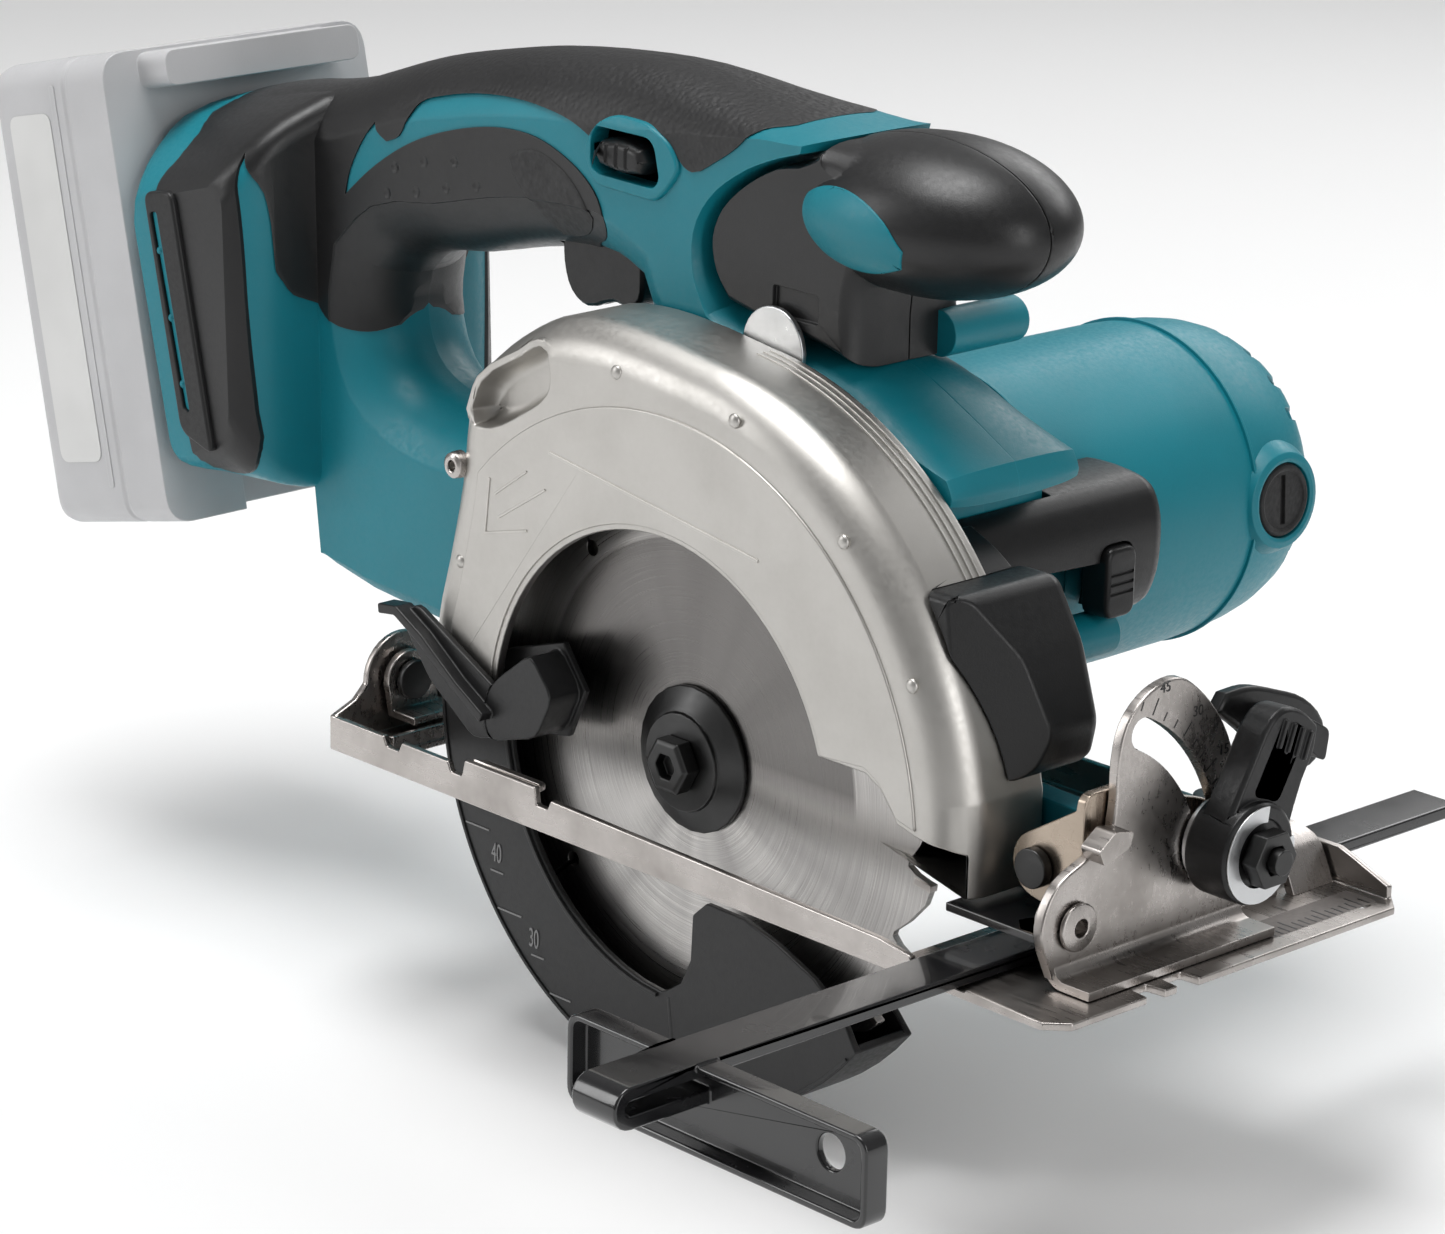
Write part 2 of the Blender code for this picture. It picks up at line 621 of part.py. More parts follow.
def battery_button():
    return lean_back(soft_block("battery_button", (-228.6, 20, 93.4), (-225, 39, 105.6), 3, "x"))


def terminal_block():
    return lean_back(block("terminal_block", (-195, 14.6, 38), (-182.3, 45.4, 78)))


def rear_bumper(name, side):
    outline = [(-173.4, 88.6), (-163.1, 90.3), (-149.2, 32.9), (-160.8, 36.1)]
    y = SEAM + side * 37.8
    return slab(name, rounded(outline, 3, 3), "y", min(y, y + side * 1.6), max(y, y + side * 1.6))


# ---------------------------------------------------------------- base and adjustment

def base_plate():
    outline = [
        (-91, -23), (118, -23), (122, -19), (122, 1.5), (117.5, 2), (117.5, 6), (122, 6.5), (122, 10),
        (117.5, 10.5), (117.5, 15.5), (122, 16), (122, 74), (118, 78), (-91, 78),
    ]
    base = slab("base_plate", outline, "z", SOLE, BASE_TOP)
    cut(base, slab("window", rounded(rectangle(-77, 77, -20, 34), 3, 2), "z", -30, 0))
    cut(base, rod("hole", "z", (116, 70), 2.2, -30, 0, 16))
    right = [(-91, SOLE), (118, SOLE), (116, -15.4), (98.4, -14.9), (98, -15.4), (84.4, -15.4), (83.5, -12.6), (75, -11.3)]
    right += [(-19.5, -9.5), (-20.5, -11.6), (-24, -11.6), (-24.5, -7.9), (-46.5, -7.9), (-47.5, -11.6), (-51, -11.6)]
    right += [(-52, -9.5), (-67, -9.5), (-68, -11.6), (-72, -11.6), (-73, -9.5), (-91, -9.5)]
    fuse(base, slab("right_lip", right, "y", -23, -21.4))
    fuse(base, slab("tab", rounded(rectangle(-45.4, -24.6, -23, -18.9), 2, 2), "z", -9.4, -8.0))
    left = [(-91, SOLE), (118, SOLE), (118, -12.9), (109, -9.4), (105, -8), (98.2, -8), (98, -15.4), (84, -15.4), (83.8, -8)]
    left += [(-91, -8)]
    fuse(base, slab("left_lip", left, "y", 76.4, 78))
    ear = [(-23, SOLE), (-23, -9.5), (-17, -7)] + arc(BEVEL_AXIS, 10, 180, 0, 16) + [(9, -7), (78, -8), (78, SOLE)]
    fuse(base, slab("rear_edge", ear, "x", -91, -89.4))
    fuse(base, slab("stiffener", rectangle(-17, 31, SOLE, -12.2), "x", -78.6, -77.1))
    cut(base, rod("pin_hole", "x", BEVEL_AXIS, 2.9, -100, -80, 24))
    bridge = [(82, BASE_TOP - 0.6), (82, -9.9), (83, -9), (101, -9), (102, -9.9), (102, BASE_TOP - 0.6), (100.4, BASE_TOP - 0.6)]
    bridge += [(100.4, -10.9), (83.6, -10.9), (83.6, BASE_TOP - 0.6)]
    fuse(base, slab("bridge", bridge, "y", 45, 62))
    return cut(base, rod("screw_hole", "z", (92, 53), 2.5, -12, 0, 20))


def bevel_quadrant():
    plate = [
        (-9.5, -13.6), (-13.1, -4.3), (-12, 1), (-8.5, 5.4), (-1, 8.6), (5.2, 11.2), (6.2, 18), (6.3, 26), (8.2, 33),
        (13, 37.6), (18, 39.4), (23, 39.4), (28.5, 36), (33.5, 31), (37.5, 25), (40.6, 17), (42, 8), (42, -2), (44, -13.6),
    ]
    quadrant = slab("bevel_quadrant", plate, "x", 105.5, 108)
    foot = [(105.5, -9), (108, -13), (117, -13), (117, 40), (113, 45), (105.5, 45)]
    fuse(quadrant, slab("foot", foot, "z", -15.2, -13.4))
    slot = band(arc(BEVEL_AXIS, SLOT_RADIUS, 9.5, 68.5, 20), 6.4)
    cut(quadrant, slab("slot", slot, "x", 100, 112))
    cut(quadrant, rod("rivet_hole", "x", BEVEL_AXIS, 2.6, 100, 112, 24))
    tab = [(-1, 8.4), (5.6, 11.0), (6.6, 14), (1.5, 14.5), (-2.5, 11.6)]
    return fuse(quadrant, slab("tab", tab, "x", 107.4, 112.4))


def front_bevel_rivet():
    profile = [(0, 101.4), (4.4, 101.4), (4.4, 102.8), (2.3, 102.8), (2.3, 108.3), (4.8, 108.3), (4.8, 109.3)]
    profile += [(1.8, 109.8), (1.8, 106), (0, 106)]
    return turned("front_bevel_rivet", "x", BEVEL_AXIS, profile, 24)


def rear_bevel_pin():
    profile = [(0, -94.4), (4.5, -94.4), (4.5, -91.3), (2.6, -91.3), (2.6, -86.2), (4.4, -86.2), (4.4, -84.6), (0, -84.6)]
    return turned("rear_bevel_pin", "x", BEVEL_AXIS, profile, 24)


def fence_clamp_screw():
    profile = [(0, -11.8), (2.3, -11.8), (2.3, 1.8), (4.2, 1.8), (4.2, 5), (0, 5)]
    return turned("fence_clamp_screw", "z", (92, 53), profile, 20)


def front_tilt_bracket():
    bracket = slab("front_tilt_bracket", rounded(rectangle(0.4, 21.2, -5.6, 20), 3, 3), "x", 103, 105.2)
    cheek = hull([(94, 3, 6.8), (97, 3, 6.8), (103.4, 15, 1.5), (103.4, -4, 1.5)], 24)
    fuse(bracket, slab("near_cheek", cheek, "y", 0.4, 2.4), slab("far_cheek", cheek, "y", 19.2, 21.2))
    lock_arm = [(20.6, -5.6), (39, -3), (39, 10), (34, 12), (20.6, 16)]
    fuse(bracket, slab("lock_arm", rounded(lock_arm, 2, 2), "x", 103, 105.2))
    cut(bracket, rod("pivot", "y", DEPTH_AXIS, 2.6, -5, 30, 20))
    cut(bracket, soft_block("slot", (100, 14, 7), (110, 18.4, 14), 1.5, "x"))
    return cut(bracket, rod("bolt_hole", "x", BOLT, 2.9, 100, 110, 20))


def front_hinge_plate():
    outline = [(79, -9), (105.2, -9), (105.2, 25), (82, 25), (79, 20)]
    plate = slab("front_hinge_plate", outline, "z", -8, -6.3)
    lip = [(-9, -8), (0, -8), (0, 0.6), (-3, 2), (-9, 0)]
    fuse(plate, slab("lip", lip, "x", 103, 105.2))
    return cut(plate, rod("rivet_hole", "x", BEVEL_AXIS, 2.6, 95, 112, 24), rod("rivet_head", "x", BEVEL_AXIS, 4.7, 98, 102.9, 24))


def front_hinge_pin():
    profile = [(0, -2.2), (4, -2.2), (4, 0.1), (2.3, 0.1), (2.3, 21.5), (3.6, 21.5), (3.6, 23), (0, 23)]
    return turned("front_hinge_pin", "y", DEPTH_AXIS, profile, 20)


def bevel_lock_bolt():
    profile = [(0, 100.6), (5.4, 100.6), (5.4, 102.8), (2.6, 102.8), (2.6, 127), (0, 127)]
    return turned("bevel_lock_bolt", "x", BOLT, profile, 20)


def bevel_lock_washer():
    ring = tube("bevel_lock_washer", "x", BOLT, 2.9, 8.6, 108.4, 109.8, 32)
    return cut(ring, slab("gap", [(BOLT[0], BOLT[1]), (60, 20), (50, 40), (45, 45)], "x", 100, 120))


def bevel_lock_nut():
    return turned("bevel_lock_nut", "x", BOLT, [(3.1, 121.2), (6.0, 121.2), (6.0, 125), (3.1, 125)], 6)


def bevel_lever():
    hub = rod("bevel_lever", "x", BOLT, 10.2, 110.2, 120.8, 36)
    arm = [(24.4, 9), (33, 24), (38, 31.5), (44, 31.5), (52, 27), (48, 17), (42.6, 1)]
    fuse(hub, slab("arm", rounded(arm, 2, 2), "x", 111.4, 118.6))
    bridge = [(49, 22.5), (56, 17.5), (57, 24), (50, 28)]
    fuse(hub, slab("neck", rounded(bridge, 2, 2), "x", 101, 117))
    pad = [(38, 27), (39, 31.2), (44, 31.8), (56, 29), (67, 24), (72, 17), (70.5, 11), (62.5, 10.6), (55, 14.8), (47, 22)]
    fuse(hub, slab("pad", rounded(pad, 2, 2), "x", 100.6, 104.4))
    return cut(hub, rod("bore", "x", BOLT, 2.9, 95, 130, 20))


def depth_bolt_centre():
    angle = math.radians(180 - DEPTH_REST)
    return (DEPTH_AXIS[0] + DEPTH_RADIUS * math.cos(angle), DEPTH_AXIS[1] + DEPTH_RADIUS * math.sin(angle))


def depth_guide():
    """The curved plate behind the saw and the bracket that tilts with it."""
    start = 180 - DEPTH_REST + 10.3
    finish = 180 - DEPTH_REST - 34
    arc_plate = arc(DEPTH_AXIS, DEPTH_RADIUS + 6.5, start, finish, 18) + arc(DEPTH_AXIS, DEPTH_RADIUS - 6, finish, start, 18)
    guide = slab("depth_guide", arc_plate, "y", 50, 51.8)
    floor = [(-88.4, -9), (-79.6, -9), (-79.6, 10), (-70, 13), (-40, 40), (-40, 51.8), (-60, 51.8), (-88.4, 24)]
    fuse(guide, slab("floor", floor, "z", -12, -10.3))
    ear = [(-9, -12)] + arc(BEVEL_AXIS, 6.4, 200, 0, 12) + [(4, -12)]
    fuse(guide, slab("ear", ear, "x", -88.4, -86.6))
    slot = band(arc(DEPTH_AXIS, DEPTH_RADIUS, 180 - DEPTH_REST + 1.4, 180 - DEPTH_REST - 31.6, 24), 5.6)
    cut(guide, slab("slot", slot, "y", 45, 56))
    return cut(guide, rod("pin_hole", "x", BEVEL_AXIS, 2.9, -100, -80, 24))


def depth_lock_bolt():
    profile = [(0, 40), (4.4, 40), (4.4, 43.6), (2.5, 43.6), (2.5, 61), (0, 61)]
    return turned("depth_lock_bolt", "y", depth_bolt_centre(), profile, 20)


def depth_lever():
    x, z = depth_bolt_centre()
    lever = slab("depth_lever", hull([(x, z, 8), (x - 34, z + 10, 4.5)], 24), "y", 53, 58.5)
    return cut(lever, rod("bore", "y", (x, z), 2.75, 45, 70, 20))


def rip_fence():
    fence = block("rip_fence", (85.2, -110, -15.1), (96.8, 125, -12.2))
    fuse(fence, block("loop", (85.2, -110, -20.4), (96.8, -107.2, -13)))
    fuse(fence, block("return", (85.2, -109, -20.4), (96.8, -86, -18.2)))
    guide = rounded(rectangle(62, 140, -30, -12.4), 2, 2)
    fuse(fence, slab("guide", guide, "y", -87, -85))
    fuse(fence, slab("bottom_rim", rectangle(62.6, 139.4, -91, -85.4), "z", -30, -28.4))
    for x in (62.0, 138.4):
        fuse(fence, block("end_rim", (x, -90, -29), (x + 1.6, -85.6, -14)))
    return cut(fence, rod("hole", "y", (127.5, -19.8), 3.4, -95, -80, 20))


# ---------------------------------------------------------------- assembly

MATERIALS = {
    "sawplate_steel": ((0.55, 0.55, 0.57), 0.35, 1.0),
    "bright_steel": ((0.62, 0.62, 0.63), 0.3, 1.0),
    "cast_aluminium": ((0.6, 0.61, 0.62), 0.4, 1.0),
    "nickel": ((0.45, 0.42, 0.38), 0.35, 1.0),
    "dark_steel": ((0.05, 0.05, 0.055), 0.4, 0.8),
    "copper": ((0.6, 0.3, 0.15), 0.35, 1.0),
    "teal_plastic": ((0.0, 0.28, 0.33), 0.4, 0.0),
    "teal_metal": ((0.0, 0.25, 0.3), 0.35, 0.0),
    "black_plastic": ((0.02, 0.02, 0.022), 0.5, 0.0),
    "black_rubber": ((0.025, 0.025, 0.028), 0.8, 0.0),
    "black_steel": ((0.02, 0.02, 0.022), 0.3, 0.0),
    "grey_plastic": ((0.5, 0.5, 0.5), 0.5, 0.0),
    "clear_plastic": ((0.9, 0.9, 0.85), 0.15, 0.0),
}


def make_material(name):
    colour, roughness, metallic = MATERIALS[name]
    material = bpy.data.materials.new(name)
    material.use_nodes = True
    shader = material.node_tree.nodes["Principled BSDF"]
    shader.inputs["Base Color"].default_value = (*colour, 1)
    shader.inputs["Roughness"].default_value = roughness
    shader.inputs["Metallic"].default_value = metallic
    return material


def assemble(collection, joint, position, pieces, materials):
    """Parents the pieces to an empty that sits on their joint."""
    empty = bpy.data.objects.new(joint, None)
    empty.empty_display_size = 10 * MM
    empty.location = [(o + p) * MM for o, p in zip(ORIGIN, position)]
    collection.objects.link(empty)
    for piece, material in pieces:
        for owner in list(piece.users_collection):
            owner.objects.unlink(piece)
        collection.objects.link(piece)
        piece.parent = empty
        piece.location = [-p * MM for p in position]
        piece.data.materials.clear()
        piece.data.materials.append(materials[material])


def clear_scene():
    for obj in list(bpy.data.objects):
        bpy.data.objects.remove(obj)


def main():
    clear_scene()
    collection = bpy.data.collections.new("circular_saw")
    bpy.context.scene.collection.children.link(collection)
    materials = {name: make_material(name) for name in MATERIALS}

    assemble(collection, "base_origin", (0, 56, -17), [
        (base_plate(), "bright_steel"), (bevel_quadrant(), "bright_steel"), (front_bevel_rivet(), "bright_steel"),
        (rear_bevel_pin(), "dark_steel"),
    ], materials)
    assemble(collection, "clamp_axis", (92, 53, 0), [(fence_clamp_screw(), "dark_steel")], materials)
    assemble(collection, "fence_axis", (91, -85, -13.6), [(rip_fence(), "black_steel")], materials)
    assemble(collection, "bevel_axis", (100, *BEVEL_AXIS), [
        (front_tilt_bracket(), "nickel"), (front_hinge_plate(), "black_steel"), (front_hinge_pin(), "dark_steel"),
        (bevel_lock_bolt(), "bright_steel"), (bevel_lock_washer(), "bright_steel"), (bevel_lock_nut(), "bright_steel"),
        (depth_guide(), "bright_steel"),
    ], materials)
    assemble(collection, "bevel_lever_axis", (115, *BOLT), [(bevel_lever(), "black_plastic")], materials)
    saw = [
        (upper_guard(), "cast_aluminium"), (gear_housing(), "teal_metal"), (gear_plate(), "cast_aluminium"),
        (tube("spindle_bearing", "y", (0, 0), 6.2, 11.1, 7.2, 13.8), "bright_steel"),
        (rod("intermediate_shaft", "y", IDLER, 3.0, 14.4, 30.6, 24), "bright_steel"),
        (tube("front_motor_bearing", "y", MOTOR, 3.6, 10, 26.4, 30.8), "bright_steel"),
        (tube("rear_motor_bearing", "y", MOTOR, 3.6, 9, 136.5, 141.5), "bright_steel"),
        (tube("field_can", "y", MOTOR, 26, 31.8, 62, 112, 48), "dark_steel"),
        (housing_right(), "teal_plastic"), (housing_left(), "teal_plastic"), (motor_housing(), "teal_plastic"),
        (brush_cap("front_brush_cap", 3), "black_plastic"), (brush_cap("rear_brush_cap", 183), "black_plastic"),
        (carbon_brush("front_carbon_brush", 3), "dark_steel"), (carbon_brush("rear_carbon_brush", 183), "dark_steel"),
        (front_grip(), "black_rubber"), (shaft_lock_hood(), "black_plastic"), (nose_cover(), "black_plastic"),
        (rod("led_lamp", "z", (78, 15.5), 3.0, 15.2, 21.0, 20), "clear_plastic"),
        (rear_bumper("right_rear_bumper", -1), "black_rubber"), (rear_bumper("left_rear_bumper", 1), "black_rubber"),
        (terminal_block(), "black_plastic"),
        (block("switch_unit", (-68, 22, 103.5), (-42, 38, 121)), "black_plastic"),
        (rod("guard_washer", "y", (6.5, 85), 8.6, 11.7, 13.1, 32), "bright_steel"),
        (depth_lock_bolt(), "bright_steel"),
    ]
    assemble(collection, "depth_axis", (DEPTH_AXIS[0], 15, DEPTH_AXIS[1]), saw, materials)
    assemble(collection, "blade_axis", (0, 0, 0), [
        (blade(), "sawplate_steel"), (outer_flange(), "dark_steel"), (blade_bolt(), "dark_steel"),
        (inner_flange(), "bright_steel"), (spindle(), "bright_steel"), (spindle_gear(), "bright_steel"),
    ], materials)
    assemble(collection, "idler_axis", (IDLER[0], 20, IDLER[1]), [(intermediate_gear(), "bright_steel")], materials)
    assemble(collection, "motor_axis", (MOTOR[0], 80, MOTOR[1]), [
        (armature_shaft(), "bright_steel"), (cooling_fan(), "black_plastic"),
        (tube("armature_core", "y", MOTOR, 3.6, 24.5, 66, 108, 40), "dark_steel"),
        (tube("commutator", "y", MOTOR, 3.6, 10.8, 121, 134.5), "copper"),
    ], materials)
    assemble(collection, "lower_guard_axis", (0, 0, 0), [(lower_guard(), "black_plastic")], materials)
    assemble(collection, "trigger_axis", (-53, 30, 88), [(trigger(), "black_plastic")], materials)
    assemble(collection, "lock_off_axis", (-38, 14, 116.5), [(lock_off_lever(), "black_plastic")], materials)
    button = soft_block("shaft_lock_button", (50.6, 57.5, 31), (57.4, 66.5, 46), 3, "x")
    assemble(collection, "shaft_lock_axis", (54, 62, 38.5), [(button, "black_plastic")], materials)
    assemble(collection, "battery_axis", (-205, 29.5, 60), [(battery_pack(), "grey_plastic")], materials)
    assemble(collection, "battery_button_axis", (-222, 29.5, 100), [(battery_button(), "dark_steel")], materials)
    x, z = depth_bolt_centre()
    assemble(collection, "depth_lever_axis", (x, 55, z), [(depth_lever(), "black_plastic")], materials)


main()
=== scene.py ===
"""Looks of a compact cordless circular saw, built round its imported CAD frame.

Shapes are written in millimetres about the blade's centre: x runs forward, y towards the motor, z up.
"""

import json
import math

import bmesh
import bpy
from mathutils import Matrix, Vector

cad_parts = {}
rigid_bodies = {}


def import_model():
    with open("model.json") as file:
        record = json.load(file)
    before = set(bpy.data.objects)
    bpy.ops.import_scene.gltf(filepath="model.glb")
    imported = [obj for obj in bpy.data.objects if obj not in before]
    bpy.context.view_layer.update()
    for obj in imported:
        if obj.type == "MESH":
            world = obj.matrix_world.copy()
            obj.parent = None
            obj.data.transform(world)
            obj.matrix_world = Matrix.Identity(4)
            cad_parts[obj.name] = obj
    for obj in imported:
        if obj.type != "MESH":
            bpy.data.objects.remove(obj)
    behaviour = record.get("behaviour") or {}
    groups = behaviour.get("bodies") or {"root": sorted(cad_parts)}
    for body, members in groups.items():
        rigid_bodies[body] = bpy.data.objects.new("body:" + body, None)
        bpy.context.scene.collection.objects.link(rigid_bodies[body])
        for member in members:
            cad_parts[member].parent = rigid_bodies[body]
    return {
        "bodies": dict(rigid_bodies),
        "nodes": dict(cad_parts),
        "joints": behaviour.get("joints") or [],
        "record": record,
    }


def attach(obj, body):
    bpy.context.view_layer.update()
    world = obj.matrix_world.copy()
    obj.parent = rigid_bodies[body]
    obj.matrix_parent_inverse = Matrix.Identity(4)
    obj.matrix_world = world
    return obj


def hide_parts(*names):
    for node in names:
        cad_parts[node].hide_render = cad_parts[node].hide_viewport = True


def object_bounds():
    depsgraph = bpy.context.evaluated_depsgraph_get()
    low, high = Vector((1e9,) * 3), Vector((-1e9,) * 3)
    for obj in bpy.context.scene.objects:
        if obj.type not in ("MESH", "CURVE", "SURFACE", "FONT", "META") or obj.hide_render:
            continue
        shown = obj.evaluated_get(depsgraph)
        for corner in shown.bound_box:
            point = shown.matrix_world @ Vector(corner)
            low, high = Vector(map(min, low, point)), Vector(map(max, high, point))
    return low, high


MM = 0.001
ORIGIN = Vector((0, -56, 17))
TO_ROW = Matrix.Scale(MM, 4) @ Matrix.Translation(ORIGIN)
SEAM = 30
HALF_WIDTH = 18
MOTOR = (6, 38)
BOLT = (33.3, 4.9)
BEVEL_AXIS = (-4, -4)
BEVEL_SLOT = 38.3
SLOT_FINISH = 64

VIEW_AZIMUTH = math.radians(46.46)
VIEW_ELEVATION = math.radians(17.42)
VIEW_ROLL = math.radians(1.14)
VIEW_DISTANCE = 985
VIEW_SHIFT = (4.2, 28.6)
LENS = 120.7
LIT_SPOT = Vector((0, -0.02, 0.09))
WORLD_STRENGTH = 0.27
FLOOR_GAP = 0.0005

TEAL = (0.004, 0.205, 0.262)
TEAL_DEEP = (0.001, 0.128, 0.172)
BLACK = (0.009, 0.009, 0.0095)
BLACK_WORN = (0.028, 0.028, 0.029)
FINE = (900, 900, 900)


# ---- outlines

def arc(centre, radius, start, end, steps):
    """Points on a circle from the start angle to the end angle, in degrees."""
    points = []
    for i in range(steps + 1):
        angle = math.radians(start + (end - start) * i / steps)
        points.append((centre[0] + radius * math.cos(angle), centre[1] + radius * math.sin(angle)))
    return points


def spoke(degrees):
    """The unit vector at an angle."""
    return Vector((math.cos(math.radians(degrees)), math.sin(math.radians(degrees))))


def circle(centre, radius, sides=32):
    return arc(centre, radius, 0, 360, sides)[:-1]


def rectangle(x0, x1, y0, y1):
    return [(x0, y0), (x1, y0), (x1, y1), (x0, y1)]


def rounded(corners, radius, steps=5):
    """The outline with every corner turned into a short curve."""
    points = []
    count = len(corners)
    for i in range(count):
        here = Vector(corners[i][:2])
        before = Vector(corners[i - 1][:2]) - here
        after = Vector(corners[(i + 1) % count][:2]) - here
        reach = min(radius, before.length * 0.45, after.length * 0.45)
        start = here + before.normalized() * reach
        end = here + after.normalized() * reach
        for step in range(steps + 1):
            t = step / steps
            point = start * (1 - t) ** 2 + here * 2 * t * (1 - t) + end * t ** 2
            points.append((point.x, point.y))
    return points


def tangent_at(points, i, sharp):
    """Direction of the outline at a point, or None where it turns a corner."""
    here = Vector(points[i][:2])
    ahead = Vector(points[(i + 1) % len(points)][:2]) - here
    behind = here - Vector(points[i - 1][:2])
    if ahead.angle(behind) > math.radians(sharp):
        return None
    return (ahead.normalized() + behind.normalized()).normalized()


def smoothed(points, steps=3, sharp=42):
    """A curve through the points, keeping corners sharper than the limit. A third value is blended along."""
    found = []
    count = len(points)
    for i in range(count):
        first = points[i]
        last = points[(i + 1) % count]
        a = Vector(first[:2])
        b = Vector(last[:2])
        span = b - a
        leave = tangent_at(points, i, sharp) or span.normalized()
        arrive = tangent_at(points, (i + 1) % count, sharp) or span.normalized()
        for step in range(steps):
            t = step / steps
            reach = span.length
            point = (a * (2 * t ** 3 - 3 * t ** 2 + 1) + leave * reach * (t ** 3 - 2 * t ** 2 + t)
                     + b * (3 * t ** 2 - 2 * t ** 3) + arrive * reach * (t ** 3 - t ** 2))
            if len(first) > 2:
                found.append((point.x, point.y, first[2] + (last[2] - first[2]) * t))
            else:
                found.append((point.x, point.y))
    return found


def inset(points, amount):
    """The outline moved inwards, each point by the amount times its own weight (third value, 1 if absent)."""
    flat = [Vector(p[:2]) for p in points]
    area = sum(a.cross(b) for a, b in zip(flat, flat[1:] + flat[:1]))
    side = 1 if area > 0 else -1
    moved = []
    for i, here in enumerate(flat):
        ahead = (flat[(i + 1) % len(flat)] - here).normalized()
        behind = (here - flat[i - 1]).normalized()
        normal = Vector((-ahead.y - behind.y, ahead.x + behind.x)) * side
        normal.normalize()
        edge = Vector((-ahead.y, ahead.x)) * side
        stretch = min(1 / max(normal.dot(edge), 0.4), 1.5)
        weight = points[i][2] if len(points[i]) > 2 else 1
        point = here + normal * amount * stretch * weight
        moved.append((point.x, point.y))
    return moved


def band(path, width):
    """A strip of constant width along a path of points."""
    left = []
    right = []
    for i, here in enumerate(path):
        before = Vector(path[max(i - 1, 0)])
        after = Vector(path[min(i + 1, len(path) - 1)])
        along = (after - before).normalized()
        offset = Vector((-along.y, along.x)) * width / 2
        left.append(tuple(Vector(here) + offset))
        right.append(tuple(Vector(here) - offset))
    return left + right[::-1]


# ---- solids

def new_object(name, data):
    made = bpy.data.objects.new(name, data)
    bpy.context.scene.collection.objects.link(made)
    return made


def to_object(name, bm):
    bmesh.ops.recalc_face_normals(bm, faces=bm.faces)
    mesh = bpy.data.meshes.new(name)
    bm.to_mesh(mesh)
    bm.free()
    return new_object(name, mesh)


def current_mesh(obj):
    """The mesh as it stands with its modifiers."""
    graph = bpy.context.evaluated_depsgraph_get()
    return bpy.data.meshes.new_from_object(obj.evaluated_get(graph))


def place(axis, point, level):
    """A flat point (in the plane across the axis) at a level along the axis."""
    if axis == "x":
        return (level, point[0], point[1])
    if axis == "y":
        return (point[0], level, point[1])
    return (point[0], point[1], level)


def loft(name, rings):
    """A closed body through rings of equal point count, capped at both ends."""
    bm = bmesh.new()
    rows = [[bm.verts.new(Vector(point)) for point in ring] for ring in rings]
    count = len(rings[0])
    for low, high in zip(rows, rows[1:]):
        for i in range(count):
            j = (i + 1) % count
            bm.faces.new((low[i], low[j], high[j], high[i]))
    bm.faces.new(rows[0][::-1])
    bm.faces.new(rows[-1])
    return to_object(name, bm)


def slab(name, outline, axis, low, high):
    """A flat outline given thickness along an axis."""
    return loft(name, [[place(axis, p, low) for p in outline], [place(axis, p, high) for p in outline]])


def stacked(name, outline, levels, axis="y"):
    """An outline repeated along an axis at levels (position, inset) to give rounded edges."""
    return loft(name, [[place(axis, p, level) for p in inset(outline, depth)] for level, depth in levels])


def turned(name, axis, centre, profile, sides=48):
    """A profile of (radius, level) points swept round an axis, and closed unless it ends on the axis."""
    bm = bmesh.new()
    rows = []
    for radius, level in profile:
        if radius == 0:
            rows.append([bm.verts.new(place(axis, centre, level))])
        else:
            rows.append([bm.verts.new(place(axis, p, level)) for p in circle(centre, radius, sides)])
    pairs = list(zip(rows, rows[1:]))
    if profile[0][0] > 0:
        pairs.append((rows[-1], rows[0]))
    for low, high in pairs:
        for i in range(sides):
            j = (i + 1) % sides
            if len(low) == 1:
                bm.faces.new((low[0], high[j], high[i]))
            elif len(high) == 1:
                bm.faces.new((low[i], low[j], high[0]))
            else:
                bm.faces.new((low[i], low[j], high[j], high[i]))
    return to_object(name, bm)


def rod(name, axis, centre, radius, low, high, sides=32):
    return turned(name, axis, centre, [(0, low), (radius, low), (radius, high), (0, high)], sides)


def balls(name, centres, level, size, divisions=3):
    """Separate balls with the given half sizes, in one mesh. The centres are x-z points at a level in y."""
    bm = bmesh.new()
    for centre in centres:
        shape = Matrix.Translation(place("y", centre, level)) @ Matrix.Diagonal((*size, 1))
        bmesh.ops.create_icosphere(bm, subdivisions=divisions, radius=1, matrix=shape)
    return to_object(name, bm)


def combine(obj, tool, operation):
    """Applies one Boolean and removes the tool."""
    modifier = obj.modifiers.new("combine", "BOOLEAN")
    modifier.operation = operation
    modifier.solver = "EXACT"
    modifier.object = tool
    result = current_mesh(obj)
    obj.modifiers.clear()
    obj.data = result
    bpy.data.objects.remove(tool)
    return obj


def cut(obj, *tools):
    for tool in tools:
        combine(obj, tool, "DIFFERENCE")
    return obj


def fuse(obj, *tools):
    for tool in tools:
        combine(obj, tool, "UNION")
    return obj


def aim(obj, direction, spot):
    """Turns a shape made along z to a direction and moves it to a spot."""
    obj.data.transform(Vector((0, 0, 1)).rotation_difference(Vector(direction)).to_matrix().to_4x4())
    obj.data.transform(Matrix.Translation(spot))
    return obj


# ---- finishing a piece

SHARP = 32
LOOKS = {}


